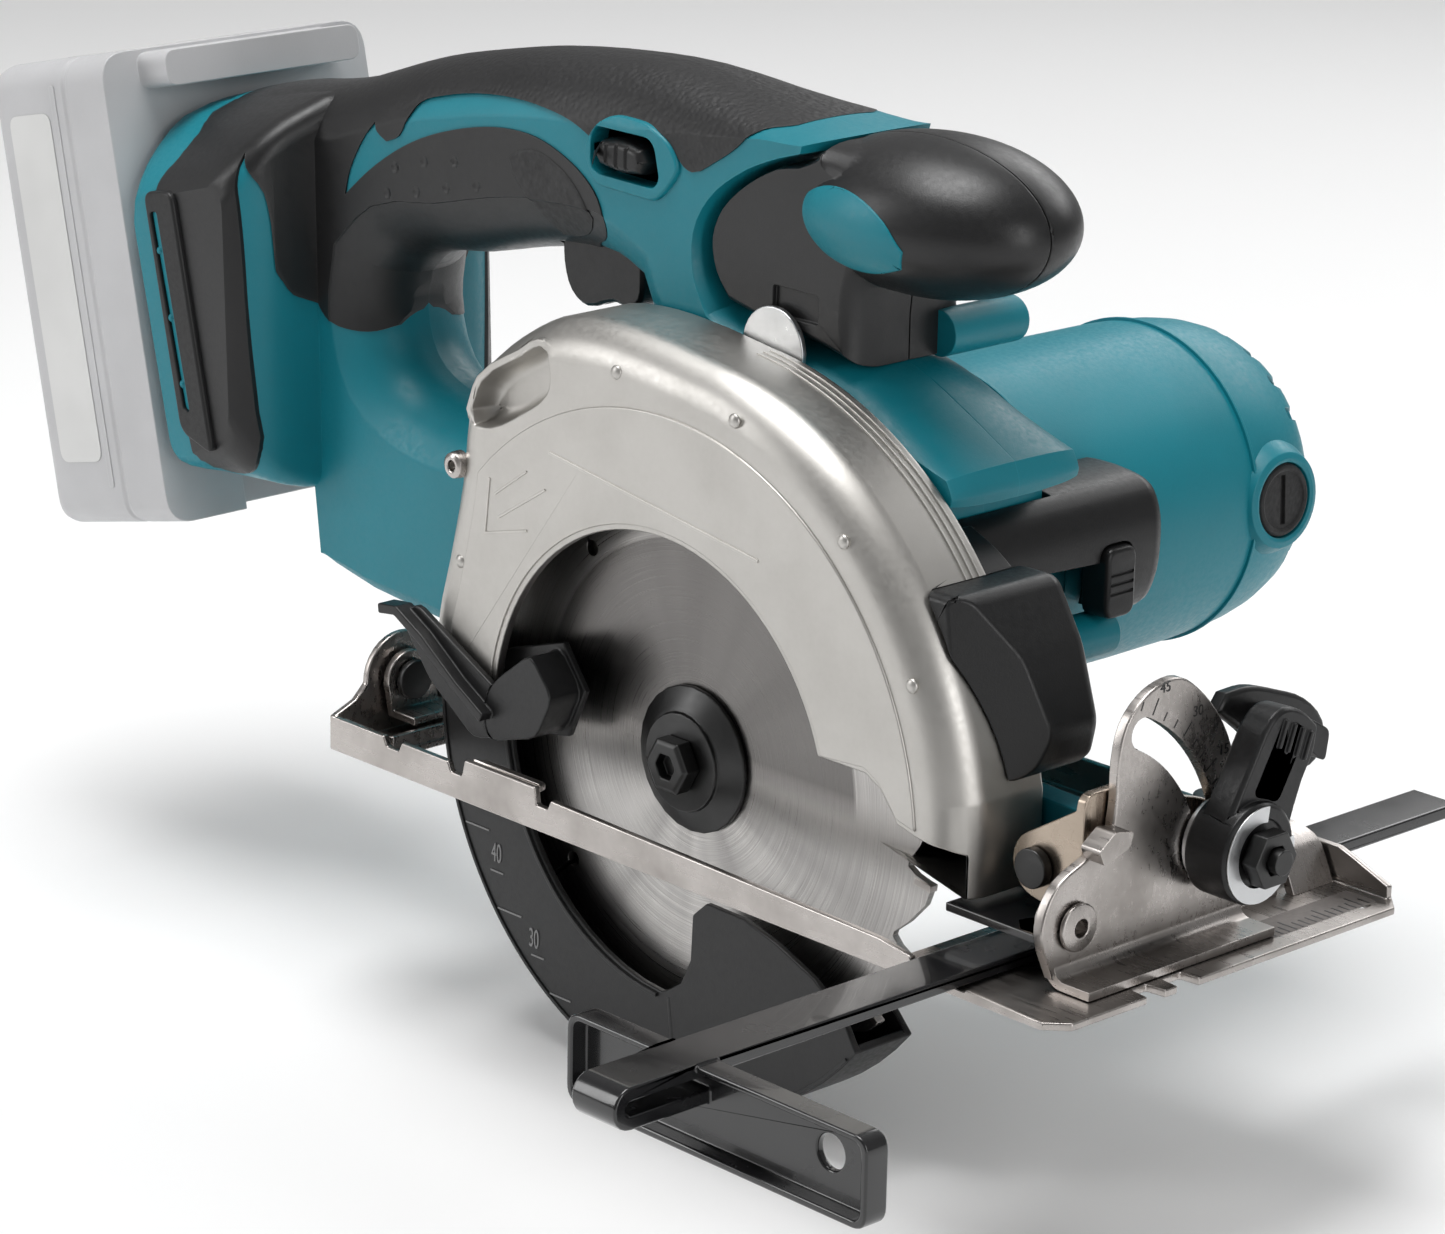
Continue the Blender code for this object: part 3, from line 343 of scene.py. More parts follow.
def smooth_by_angle(obj, angle=SHARP):
    """Smooth shading with the sharp edges marked."""
    mesh = obj.data
    bm = bmesh.new()
    bm.from_mesh(mesh)
    limit = math.radians(angle)
    for face in bm.faces:
        face.smooth = True
    for edge in bm.edges:
        edge.smooth = len(edge.link_faces) == 2 and edge.calc_face_angle(0) < limit
    bm.to_mesh(mesh)
    bm.free()
    weight = obj.modifiers.new("shade", "WEIGHTED_NORMAL")
    weight.keep_sharp = True
    weight.weight = 80


def soften(obj, width):
    """Gives every real edge a small radius, so that it catches the light."""
    weld = obj.modifiers.new("weld", "WELD")
    weld.merge_threshold = 2e-6
    flat = obj.modifiers.new("flat", "DECIMATE")
    flat.decimate_type = "DISSOLVE"
    flat.angle_limit = math.radians(0.6)
    bevel = obj.modifiers.new("edges", "BEVEL")
    bevel.width = width * MM
    bevel.segments = 2
    bevel.limit_method = "ANGLE"
    bevel.angle_limit = math.radians(SHARP)
    bevel.use_clamp_overlap = False
    bevel.miter_outer = "MITER_ARC"
    weight = obj.modifiers.new("shade", "WEIGHTED_NORMAL")
    weight.keep_sharp = False
    weight.weight = 70
    for polygon in obj.data.polygons:
        polygon.use_smooth = True


def paint(obj, look, width):
    """Gives a piece or a CAD node its material and soft edges."""
    obj.data.materials.clear()
    obj.data.materials.append(LOOKS[look])
    if width > 0:
        soften(obj, width)


def finish_piece(obj, body, look, width=0, replaced=()):
    """Moves a piece made in millimetres to its place, rounds it, paints it and hangs it on its body."""
    obj.data.transform(TO_ROW)
    paint(obj, look, width)
    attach(obj, body)
    if replaced:
        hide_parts(*replaced)


# ---- materials

class Surface:
    """Builds one procedural material on a Principled shader."""

    def __init__(self, name, metallic=0, roughness=0.5, coat=0):
        self.material = bpy.data.materials.new(name)
        LOOKS[name] = self.material
        self.material.use_nodes = True
        self.tree = self.material.node_tree
        self.shader = self.tree.nodes["Principled BSDF"]
        self.shader.inputs["Metallic"].default_value = metallic
        self.shader.inputs["Roughness"].default_value = roughness
        self.shader.inputs["Coat Weight"].default_value = coat
        self.place = self.node("TexCoord").outputs["Object"]
        self.height = None

    def feed(self, socket, value):
        if isinstance(value, bpy.types.NodeSocket):
            self.tree.links.new(value, socket)
        else:
            socket.default_value = value

    def node(self, kind, inputs=None, **settings):
        made = self.tree.nodes.new("ShaderNode" + kind)
        for key, value in settings.items():
            setattr(made, key, value)
        for key, value in (inputs or {}).items():
            self.feed(made.inputs[key], value)
        return made

    def math(self, operation, a, b=0):
        return self.node("Math", {0: a, 1: b}, operation=operation).outputs[0]

    def times(self, a, b):
        return self.math("MULTIPLY", a, b)

    def noise(self, scale, detail=3, roughness=0.55, where=None):
        """Grey noise; scale is in waves per metre."""
        made = self.node("TexNoise", {"Vector": where or self.place, "Scale": scale, "Detail": detail,
                                      "Roughness": roughness})
        return made.outputs["Fac"]

    def cells(self, scale, where=None, feature="F1"):
        made = self.node("TexVoronoi", {"Vector": where or self.place, "Scale": scale}, feature=feature)
        return made.outputs["Distance"]

    def stretched(self, factors):
        """Coordinates scaled on each axis, for grain that runs one way."""
        return self.node("Mapping", {"Vector": self.place, "Scale": factors}).outputs[0]

    def spread(self, value, low, high, to_low=0, to_high=1):
        made = self.node("MapRange", {"Value": value, "From Min": low, "From Max": high, "To Min": to_low,
                                      "To Max": to_high})
        made.clamp = True
        return made.outputs[0]

    def mix(self, share, a, b):
        made = self.node("Mix", data_type="RGBA")
        self.feed(made.inputs[0], share)
        self.feed(made.inputs[6], a if isinstance(a, bpy.types.NodeSocket) else (*a, 1))
        self.feed(made.inputs[7], b if isinstance(b, bpy.types.NodeSocket) else (*b, 1))
        return made.outputs[2]

    def about_axis(self, x, z):
        """Offsets in x and z from an axis along y, and the distance from it, in metres."""
        parts = self.node("SeparateXYZ", {"Vector": self.place})
        across = self.math("ADD", parts.outputs["X"], -x)
        height = self.math("ADD", parts.outputs["Z"], -z)
        squares = [self.times(offset, offset) for offset in (across, height)]
        return across, height, self.math("SQRT", self.math("ADD", *squares))

    def edge_mask(self, radius=0.5):
        """White on the outer edges, from how far a rounded normal leans from the flat one."""
        soft = self.node("Bevel", {"Radius": radius * MM}, samples=4).outputs[0]
        flat = self.node("NewGeometry").outputs["Normal"]
        lean = self.node("VectorMath", {0: soft, 1: flat}, operation="DOT_PRODUCT").outputs["Value"]
        return self.spread(lean, 0.995, 0.86)

    def colour(self, value):
        self.feed(self.shader.inputs["Base Color"], value)

    def roughness(self, value):
        self.feed(self.shader.inputs["Roughness"], value)

    def bump(self, height, strength, distance):
        """Adds one layer of relief; distance is in millimetres."""
        made = self.node("Bump", {"Height": height, "Strength": strength, "Distance": distance * MM})
        if self.height is not None:
            self.feed(made.inputs["Normal"], self.height)
        self.height = made.outputs[0]
        self.feed(self.shader.inputs["Normal"], self.height)


def plastic(name, colour, worn, grain, depth, rough=(0.34, 0.5)):
    """Moulded plastic: spark-eroded grain, slight colour drift and rubbed edges."""
    s = Surface(name, roughness=rough[0])
    drift = s.noise(35, 2)
    fine = s.noise(900, 2)
    tone = s.mix(s.spread(drift, 0.35, 0.65, 0, 0.5), colour, [c * 0.82 for c in colour])
    tone = s.mix(s.times(s.edge_mask(0.45), 0.35), tone, worn)
    specks = s.spread(s.noise(4200, 1), 0.66, 0.74, 0, 0.12)
    s.colour(s.mix(specks, tone, worn))
    s.roughness(s.spread(fine, 0.3, 0.7, rough[0], rough[1]))
    s.bump(s.noise(grain, 3, 0.6), 0.55, depth)
    s.bump(drift, 0.15, 0.2)
    s.shader.inputs["Specular IOR Level"].default_value = 0.4


def grip_skin(name, textured):
    """Soft black overmould: fine grain, and pebbles where the palm rests."""
    s = Surface(name, roughness=0.55)
    drift = s.noise(28, 2)
    tone = s.mix(s.spread(drift, 0.3, 0.7, 0, 0.35), BLACK, BLACK_WORN)
    s.colour(s.mix(s.times(s.edge_mask(0.6), 0.25), tone, (0.06, 0.06, 0.06)))
    s.bump(s.noise(3000, 3, 0.6), 0.5, 0.05)
    s.shader.inputs["Specular IOR Level"].default_value = 0.45
    if not textured:
        s.roughness(s.spread(s.noise(800), 0.3, 0.7, 0.32, 0.42))
        return
    across, _, reach = s.about_axis(-0.082, 0.079)
    mask = s.times(s.spread(reach, 0.0592, 0.0602), s.spread(across, -0.036, -0.018))
    pebbles = s.cells(820, feature="SMOOTH_F1")
    s.bump(s.times(pebbles, mask), 0.8, 0.22)
    s.roughness(s.math("ADD", s.spread(s.noise(800), 0.3, 0.7, 0.34, 0.44), s.times(mask, 0.1)))


def blade_steel():
    """Ground saw plate: rings of fine grinding marks, with painted shade darkening the upper half near the
    hub, standing in for the guard's shadow.
    """
    s = Surface("blade_steel", metallic=1, roughness=0.3)
    across, height, reach = s.about_axis(0, 0.017)
    angle = s.math("ARCTAN2", height, across)
    ring = s.node("CombineXYZ", {"X": s.times(reach, 5200), "Y": s.times(angle, 0.8)})
    lines = s.noise(1, 3, 0.7, ring.outputs[0])
    sweep = s.node("CombineXYZ", {"X": s.times(angle, 2.2), "Y": s.times(reach, 9)})
    sheen = s.noise(1, 2, 0.5, sweep.outputs[0])
    tone = s.mix(s.spread(sheen, 0.3, 0.7), (0.62, 0.6, 0.58), (0.34, 0.33, 0.32))
    upper = s.spread(height, -0.002, 0.004)
    # painted shade: the blade's upper half within about 46 mm of the hub is darkened, standing in for the
    # shadow under the guard
    painted_guard_shade = s.times(s.spread(reach, 0.0455, 0.0465, 1, 0), upper)
    tone = s.mix(s.times(painted_guard_shade, 0.82), tone, (0.1, 0.095, 0.09))
    s.colour(s.mix(s.spread(lines, 0.35, 0.65, 0, 0.45), tone, (0.2, 0.19, 0.19)))
    s.roughness(s.spread(lines, 0.3, 0.7, 0.22, 0.42))
    s.bump(lines, 0.5, 0.012)


def painted_steel():
    """Glossy black paint over pressed steel: slight orange peel and a few rubbed spots on the edges."""
    s = Surface("black_steel", roughness=0.2, coat=0.5)
    wear = s.times(s.edge_mask(0.25), s.spread(s.noise(240, 3), 0.62, 0.7, 0, 0.6))
    s.colour(s.mix(wear, (0.008, 0.008, 0.009), (0.3, 0.3, 0.3)))
    s.roughness(s.spread(s.noise(120, 3), 0.3, 0.7, 0.17, 0.3))
    s.bump(s.noise(260, 2), 0.04, 0.004)


def pebbled(name, scale, depth):
    """Soft overmould with a pebble texture."""
    s = Surface(name, roughness=0.7)
    drift = s.noise(30, 2)
    tone = s.mix(s.spread(drift, 0.3, 0.7, 0, 0.4), BLACK, BLACK_WORN)
    s.colour(s.mix(s.times(s.edge_mask(0.6), 0.25), tone, BLACK_WORN))
    s.roughness(s.spread(s.noise(700), 0.3, 0.7, 0.55, 0.75))
    s.bump(s.cells(scale, feature="SMOOTH_F1"), 0.7, depth)
    s.bump(s.noise(3000, 2), 0.3, 0.03)
    s.shader.inputs["Sheen Weight"].default_value = 0.08


def metal(name, colour, dark, rough, grain=(60, 900, 60), scratch=0.25, spots=0.15, depth=0.02):
    """Worked metal: directional grain, cloudy tarnish, fine scratches and bright edges."""
    s = Surface(name, metallic=1, roughness=rough[0])
    lines = s.noise(1, 4, 0.6, s.stretched(grain))
    cloud = s.noise(55, 4)
    tone = s.mix(s.spread(cloud, 0.4, 0.68, 0, spots), colour, dark)
    marks = s.cells(1, s.stretched((260, 35, 900)), "DISTANCE_TO_EDGE")
    marks = s.spread(marks, 0, 0.02, 1, 0)
    tone = s.mix(s.times(marks, scratch), tone, dark)
    bright = [min(1, c * 1.45) for c in colour]
    s.colour(s.mix(s.times(s.edge_mask(0.4), 0.7), tone, bright))
    s.roughness(s.spread(s.math("ADD", lines, s.times(cloud, 0.6)), 0.5, 1.1, rough[0], rough[1]))
    s.bump(lines, 0.35, depth)


def build_materials():
    plastic("teal_plastic", TEAL, (0.03, 0.32, 0.39), 2600, 0.035)
    plastic("teal_metal", TEAL_DEEP, (0.02, 0.28, 0.35), 1800, 0.03, (0.3, 0.42))
    plastic("black_plastic", BLACK, BLACK_WORN, 2400, 0.04, (0.3, 0.44))
    plastic("black_rubber", BLACK, BLACK_WORN, 3200, 0.06, (0.38, 0.52))
    plastic("grey_plastic", (0.55, 0.55, 0.56), (0.75, 0.75, 0.75), 2600, 0.03, (0.35, 0.5))
    plastic("mark_grey", (0.2, 0.2, 0.2), (0.35, 0.35, 0.35), 1500, 0.01)
    plastic("label", (0.7, 0.7, 0.69), (0.6, 0.6, 0.6), 600, 0.004, (0.28, 0.34))
    plastic("clear_plastic", (0.82, 0.82, 0.74), (0.95, 0.95, 0.9), 500, 0.01, (0.05, 0.15))
    grip_skin("grip", True)
    grip_skin("grip_smooth", False)
    pebbled("cap_mesh", 1300, 0.12)
    pebbled("black_pebble", 850, 0.16)
    painted_steel()
    blade_steel()
    metal("zinc", (0.66, 0.67, 0.68), (0.42, 0.42, 0.42), (0.25, 0.4), FINE, 0.1, 0.3)
    metal("etched", (0.22, 0.2, 0.19), (0.08, 0.075, 0.07), (0.45, 0.6), FINE, 0.2, 0.5)
    metal("cast_aluminium", (0.52, 0.505, 0.48), (0.36, 0.345, 0.32), (0.36, 0.48), FINE, 0.03, 0.2, 0.03)
    metal("bright_steel", (0.47, 0.44, 0.42), (0.13, 0.115, 0.1), (0.2, 0.4), (70, 900, 500), 0.02, 0.42)
    metal("sawplate_steel", (0.5, 0.49, 0.48), (0.3, 0.3, 0.29), (0.25, 0.4))
    metal("nickel", (0.46, 0.385, 0.315), (0.2, 0.15, 0.11), (0.2, 0.36))
    metal("dark_steel", (0.07, 0.07, 0.07), (0.02, 0.02, 0.02), (0.3, 0.45), (300, 300, 300), 0.1, 0.3)
    metal("copper", (0.72, 0.34, 0.18), (0.3, 0.12, 0.05), (0.25, 0.4))


# ---- studio

def build_camera():
    back = Vector((math.sin(VIEW_AZIMUTH) * math.cos(VIEW_ELEVATION),
                   -math.cos(VIEW_AZIMUTH) * math.cos(VIEW_ELEVATION), math.sin(VIEW_ELEVATION)))
    right = Vector((math.cos(VIEW_AZIMUTH), math.sin(VIEW_AZIMUTH), 0))
    up = back.cross(right)
    target = right * VIEW_SHIFT[0] + up * VIEW_SHIFT[1] + ORIGIN
    level = math.cos(VIEW_ROLL)
    tilt = math.sin(VIEW_ROLL)
    turn = Matrix((level * right + tilt * up, level * up - tilt * right, back)).transposed().to_4x4()
    data = bpy.data.cameras.new("camera")
    data.lens = LENS
    data.sensor_width = 36
    data.clip_start = 0.01
    camera = new_object("camera", data)
    camera.matrix_world = Matrix.Translation((target + back * VIEW_DISTANCE) * MM) @ turn
    bpy.context.scene.camera = camera


def softbox(name, position, size, power):
    data = bpy.data.lights.new(name, "AREA")
    data.shape = "RECTANGLE"
    data.size = size[0]
    data.size_y = size[1]
    data.energy = power
    light = new_object(name, data)
    light.location = position
    light.rotation_euler = (LIT_SPOT - Vector(position)).to_track_quat("-Z", "Y").to_euler()


def build_studio(floor_level):
    softbox("top_softbox", (-0.2, -0.1, 1.3), (0.8, 0.6), 13.5)
    softbox("left_softbox", (-0.9, -1, 0.6), (0.35, 1), 5.5)
    softbox("right_softbox", (1.4, -0.2, 0.45), (0.3, 1), 5)
    softbox("rim_softbox", (-0.2, 1.2, 0.8), (1.2, 0.5), 6)
    world = bpy.data.worlds.new("studio_world")
    world.use_nodes = True
    background = world.node_tree.nodes["Background"]
    background.inputs["Color"].default_value = (1, 1, 1, 1)
    background.inputs["Strength"].default_value = WORLD_STRENGTH
    bpy.context.scene.world = world
    mesh = bpy.data.meshes.new("studio_floor")
    mesh.from_pydata([(-4, -4, 0), (4, -4, 0), (4, 4, 0), (-4, 4, 0)], [], [(0, 1, 2, 3)])
    floor = new_object("studio_floor", mesh)
    floor.location = (0, 0, floor_level)
    s = Surface("floor_paint", roughness=0.6)
    s.colour(s.mix(s.noise(3), (0.92, 0.92, 0.92), (0.95, 0.95, 0.95)))
    mesh.materials.append(s.material)
    bpy.context.scene.view_settings.view_transform = "Standard"


# ---- handle shell

MAIN = [
    (-168.5, 25, .6), (-155, 23.5, .5), (-143, 22, .3), (-141, 7, .3), (-133, 3, .5), (-102, -1, .6),
    (-90, -2, .6), (-66, -6, .6), (-45, -8.4, 1), (-20, -9, .8), (20, -9, .5), (34, -3, .4), (44, 8, .4),
    (48.5, 20, .3), (48.5, 61.8, .08), (57.4, 62.4, .08), (58, 65, .08), (56.5, 69.4, .12), (41.1, 77.5, .4),
    (28.4, 83.1, .5), (14, 86, .5), (2.2, 87.4, .4), (-6, 88.6, .3), (-11.5, 90, .2), (-14.8, 96, .2),
    (-15.6, 104, .15), (-12.2, 111, .1), (-5, 117.4, .05), (4, 122.2, .02), (13, 125.2, .02),
    (14, 127.4, .05), (2, 129.6, .25), (-14, 131.6, .6), (-35.4, 133.6, 1), (-56, 132.8, 1),
    (-78.6, 130.4, 1), (-96, 127.2, 1), (-114, 123, 1), (-126, 119, 1), (-138, 115, 1), (-152, 112, .8),
    (-166.5, 109.6, .5), (-186.3, 103.8, .4),
]
FINGER_HOLE = [
    (-96, 84), (-114, 80.5), (-120.4, 75), (-121.5, 66), (-118, 56), (-108, 50.5), (-84, 50), (-64, 54.5),
    (-50, 62), (-40, 72), (-37, 82), (-40, 88), (-48, 91), (-62, 91), (-78, 88.4),
]
EDGE = ((0, 0), (3, 0.2), (5, 0.5), (7, 1.05), (9, 1.8), (11, 2.9), (12.4, 3.95), (13.8, 5.1), (15, 6.5),
        (16, 8), (17, 9.9), (17.7, 11.5), (HALF_WIDTH, 12.6))
REAR_STATIONS = [
    (0, 103.8, (-136, 114.5), (-135, 23), 0), (13, 103.2, (-138, 112.5), (-136, 23), 0),
    (20, 101.5, (-139.5, 109.5), (-137, 24), 0), (24, 99.2, (-140.2, 107.8), (-137.4, 25.2), 0),
    (28, 96, (-141, 105.5), (-138, 27), 0), (31, 93.6, (-141.7, 103.4), (-138.9, 28.8), 0.3),
    (34, 91, (-142.5, 101), (-140, 31), 1), (36.2, 89, (-143.3, 98.8), (-141, 33.6), 1.9),
    (37.5, 87.5, (-144, 97), (-142, 36), 3),
]
BLACK_EDGE = [
    (-172.5, 104.9), (-172.5, 150), (12, 150), (4.2, 128.8), (0.2, 128), (-4.9, 123.7), (-11.3, 119.6),
    (-17.6, 116.6), (-20.5, 117.6), (-23.9, 121.1), (-30.8, 123.6), (-40, 123.6), (-43.3, 121.9),
    (-47.4, 118.4), (-53.5, 120.9), (-63.1, 122.3), (-73.7, 122.6), (-86, 121.6), (-97.7, 119.2),
    (-104.4, 116.8), (-107, 113.1), (-109.6, 108.9), (-113.8, 107), (-116.9, 108.6), (-118.2, 110.5),
    (-122.5, 105.2), (-126.4, 98.6), (-128, 92.9), (-120.3, 99.2), (-111.1, 105.2), (-102.1, 109.6),
    (-91.7, 113.1), (-81.5, 115.4), (-72.9, 116.3), (-65.1, 115.9), (-57.3, 113.7), (-50.3, 110.2),
    (-46, 106.2), (-44.3, 101.2), (-45.9, 97.8), (-52, 94.6), (-56, 90.2), (-60, 82), (-100, 72),
    (-118.3, 76.9), (-121.1, 70.6), (-121.6, 65.9), (-122.2, 63.2), (-124.4, 62.1), (-128, 62),
    (-133.2, 63.2), (-137.4, 66.6), (-139.2, 73.1), (-139.8, 80.4), (-140.4, 88.6), (-141.4, 94.7),
    (-145, 101.4), (-144.7, 97.7), (-143.9, 90.9), (-143.1, 81), (-142.4, 69), (-141.6, 56.8), (-140.6, 43.6),
    (-140.1, 35.3), (-142.5, 30.2), (-149, 27.8), (-155, 28.4), (-158.4, 32.4), (-164.6, 60), (-170.4, 86),
    (-170.9, 91.5), (-168.6, 96.4), (-168.8, 101),
]
THUMB_PAD = [
    (-73.6, 110.4), (-70, 112.4), (-65.1, 113.2), (-60.1, 112), (-54.4, 109.1), (-50.2, 105.1), (-48, 101.6),
    (-50, 98.6), (-55.9, 95.9), (-61.2, 95.5), (-63.9, 98.5), (-66.8, 102.1), (-71.4, 106.1),
]
DIMPLES = [
    (-110.8, 101.8), (-101.1, 104.6), (-91.1, 106.3), (-113.4, 95.7), (-103.6, 97.6), (-93.8, 100.2),
    (-83.9, 102.3), (-117.5, 88.8), (-107.5, 91.2), (-97.1, 93.7), (-87.8, 95.7), (-77.9, 98),
]
LOCK_WINDOW = [(-47.4, 111.8), (-28.4, 111.4), (-26.6, 113.5), (-28.6, 121.6), (-46.2, 121.6), (-47.4, 119)]
LOCK_RIM = [
    (-50.2, 116.2), (-46.8, 121.8), (-41.4, 124.6), (-30.4, 124.4), (-23.8, 121.6), (-20.6, 116.6),
    (-24.4, 111.8), (-28, 108.6), (-46.6, 109.2),
]
SKIN = 0.4
SKIN_ROOT = 0.8
WALL = 3


def half_levels(side, grow):
    """Levels of a half, from the seam (or past it, for a form that only cuts) to its outer side."""
    groove = 0.3 if grow == 0 else 0
    found = [(SEAM + side * min(grow, 0), groove - grow)]
    if groove:
        found.append((SEAM + side * groove, 0))
    for depth, amount in EDGE[1:]:
        if depth + grow > 0.5:
            found.append((SEAM + side * (depth + grow), amount - grow))
    return found


def rear_box(name, side, grow):
    """The wide end that carries the battery."""
    rings = []
    for depth, rear_top, front_top, front_bottom, shrink in REAR_STATIONS:
        reach = depth + grow if depth > 0 else min(grow, 0)
        less = shrink - grow
        corners = [
            (-182 - (rear_top - 83) * 0.229 + max(less, 0), rear_top - less),
            (-168.7 + max(less, 0), 24.6 + less), (front_bottom[0] - less, front_bottom[1] + less),
            (front_top[0] - less, front_top[1] - less),
        ]
        rings.append([place("y", p, SEAM + side * reach) for p in rounded(corners, 6, 6)])
    return loft(name, rings)


def finger_hole(side, grow):
    """The hole of the handle, which widens towards the outside as the body's edge does."""
    levels = [(SEAM - side * 5, grow), (SEAM, grow)]
    for depth, amount in EDGE[1:]:
        levels.append((SEAM + side * depth, grow - amount))
    levels.append((SEAM + side * (HALF_WIDTH + 8), grow - EDGE[-1][1] - 4))
    return stacked("hole", smoothed(FINGER_HOLE, 3), levels)


def half_body(name, side, grow):
    """The outer form of one clamshell half, grown all over by the given amount."""
    shell = stacked(name, smoothed(MAIN, 3), half_levels(side, grow))
    fuse(shell, rear_box("rear", side, grow))
    return cut(shell, finger_hole(side, grow))


def trigger_slot():
    return slab("trigger_slot", rectangle(-66.6, -40.4, 78, 97.5), "y", 19.6, 40.4)


def shell_half(name, side):
    """One teal half: hollow, open at the seam, with its openings."""
    shell = half_body(name, side, 0)
    cut(shell, half_body("hollow", side, -WALL))
    if side < 0:
        cut(shell, rod("gear_case", "y", (2, 17), 22, -4, 25.6, 48))
        cut(shell, slab("lug", rounded(rectangle(0, 104, -6, 12), 8, 4), "y", 0, 18.8))
        cut(shell, rod("washer_seat", "y", (6.5, 85), 9, 5, 13.4, 48))
        cut(shell, slab("lock_hole", rounded(LOCK_WINDOW, 3, 4), "y", 5, 20))
    else:
        cut(shell, rod("motor_mouth", "y", MOTOR, 32.6, 31, 60, 64))
    return cut(shell, trigger_slot())


def overmould_half(name, side):
    """The black soft skin of one half: a raised layer bounded by the colour line."""
    skin = half_body(name, side, SKIN)
    cut(skin, half_body("core", side, -SKIN_ROOT))
    low = min(SEAM, SEAM + side * 50)
    zone = slab("zone", smoothed(BLACK_EDGE, 3, 50), "y", low, low + 50)
    combine(skin, zone, "INTERSECT")
    if side < 0:
        cut(skin, slab("lock_hole", rounded(LOCK_RIM, 3, 4), "y", 5, 20))
    cut(skin, trigger_slot())
    level = SEAM + side * (HALF_WIDTH + SKIN + 2.76)
    cut(skin, balls("dimples", DIMPLES, level, (3.1, 3.1, 3.1)))
    return skin


def thumb_pad(name, side):
    """Raised pad where the thumb rests beside the lock-off lever."""
    depths = [(14, 0), (18.55, 0), (18.75, 0.25), (18.85, 0.8)]
    levels = [(SEAM + side * depth, amount) for depth, amount in depths]
    pad = stacked(name, smoothed(THUMB_PAD, 3), levels)
    return combine(pad, half_body("clip", side, 0.95), "INTERSECT")


def lock_rim():
    """Raised teal frame round the lock-off lever."""
    rim = stacked("lock_rim", rounded(LOCK_RIM, 3, 5), [(16, 0), (12, 0), (11.2, 0.2), (10.9, 0.7)])
    cut(rim, slab("window", rounded(LOCK_WINDOW, 3, 5), "y", 5, 20))
    return combine(rim, half_body("clip", -1, 1.1), "INTERSECT")


def lock_lever():
    """Oval thumb lever with finger ridges."""
    outline = smoothed([
        (-46.4, 116.4), (-44.2, 119.2), (-38, 120), (-31.8, 119), (-29.8, 116.3), (-31.8, 113.5),
        (-38, 112.9), (-44.2, 113.7),
    ], 4)
    lever = stacked("lock_off_lever_body", outline,
                    [(17.5, 0.4), (13.4, 0), (11.6, 0.2), (10.6, 0.6), (10, 1.2), (9.8, 1.8)])
    for x in (-41.5, -38.5, -35.5):
        cut(lever, slab("ridge", rectangle(x - 0.35, x + 0.35, 112, 121), "y", 9, 10.25))
    return lever


def build_housing():
    for side, name in ((-1, "housing_right"), (1, "housing_left")):
        body = shell_half(name + "_shell", side)
        smooth_by_angle(body)
        finish_piece(body, "saw", "teal_plastic", 0, [name])
        skin = overmould_half(name + "_soft_skin", side)
        smooth_by_angle(skin, 24)
        finish_piece(skin, "saw", "grip")
        finish_piece(thumb_pad(name + "_thumb_pad", side), "saw", "black_pebble", 0.1)
    finish_piece(lock_rim(), "saw", "teal_plastic", 0.25)
    finish_piece(lock_lever(), "lock_off", "black_plastic", 0.25, ["lock_off_lever"])


# ---- front grip

GRIP_STEM = [
    (-9.8, 90.3, .4), (-13.8, 96.4, .3), (-14.6, 104, .2), (-11.2, 110.4, .1), (-4.2, 116.6, .1),
    (4.6, 121.4, .1), (13.4, 124.4, .2), (15.2, 127.2, .5), (26, 127, 1), (36, 112, 1), (29, 104, .6),
    (27.2, 98, .6), (26.8, 83.6, .5), (16, 86, .5), (2.4, 87.8, .4),
]
KNOB = (32, 114)
KNOB_LEVEL = 32
KNOB_SIZE = (32, 23, 16)
INLAY = [
    (9, 113.5), (13, 117.4), (20.5, 120.4), (30, 120.2), (38.5, 116.6), (43, 111.4), (41.4, 107.4),
    (34, 105.2), (25, 105), (15.5, 107.8),
]


def knob_form(name, grow):
    return balls(name, [KNOB], KNOB_LEVEL, [half + grow for half in KNOB_SIZE], 5)


def build_grip():
    """The auxiliary grip: a stem moulded over the neck and an egg-shaped knob with a coloured inlay."""
    levels = [
        (13.5, 7), (14.1, 5), (15, 3.6), (16.4, 2.1), (18, 1.2), (20.4, 0.4), (23, 0), (37, 0), (39.6, 0.4),
        (42, 1.2), (43.6, 2.1), (45, 3.6), (45.9, 5), (46.5, 7),
    ]
    stem = stacked("front_grip_body", smoothed(GRIP_STEM, 3), levels)
    fuse(stem, knob_form("knob", 0))
    cut(stem, stacked("neck_clear", [(p[0], p[1]) for p in MAIN], [(10, -0.3), (50, -0.3)]))
    cut(stem, slab("label_recess", rounded(rectangle(4.5, 17.5, 91.5, 97.5), 0.8, 3), "y", 5, 14.6))
    seam = slab("seam", rectangle(-20, 70, 80, 135), "y", 29.85, 30.15)
    cut(seam, knob_form("keep_knob", -0.5))
    cut(stem, seam)
    finish_piece(stem, "saw", "grip_smooth", 0.2, ["front_grip"])
    for side, name in ((-1, "right"), (1, "left")):
        inlay = knob_form("grip_inlay_" + name, 0.35)
        low = min(KNOB_LEVEL, KNOB_LEVEL + side * 40)
        zone = slab("zone", smoothed(INLAY, 4), "y", low, low + 40)
        combine(inlay, zone, "INTERSECT")
        cut(inlay, knob_form("core", -1))
        finish_piece(inlay, "saw", "teal_plastic", 0.2)


# ---- guards

GUARD_NEAR = -12.7
GUARD_FAR = 11.3
POCKET = [
    (-58.4, 63), (-55.4, 69.6), (-42.6, 77.6), (-37.4, 80.6), (-33.6, 80), (-32.6, 74.7), (-33.6, 71.4),
    (-41.1, 65.8), (-50.9, 60.8), (-56.2, 60.2),
]


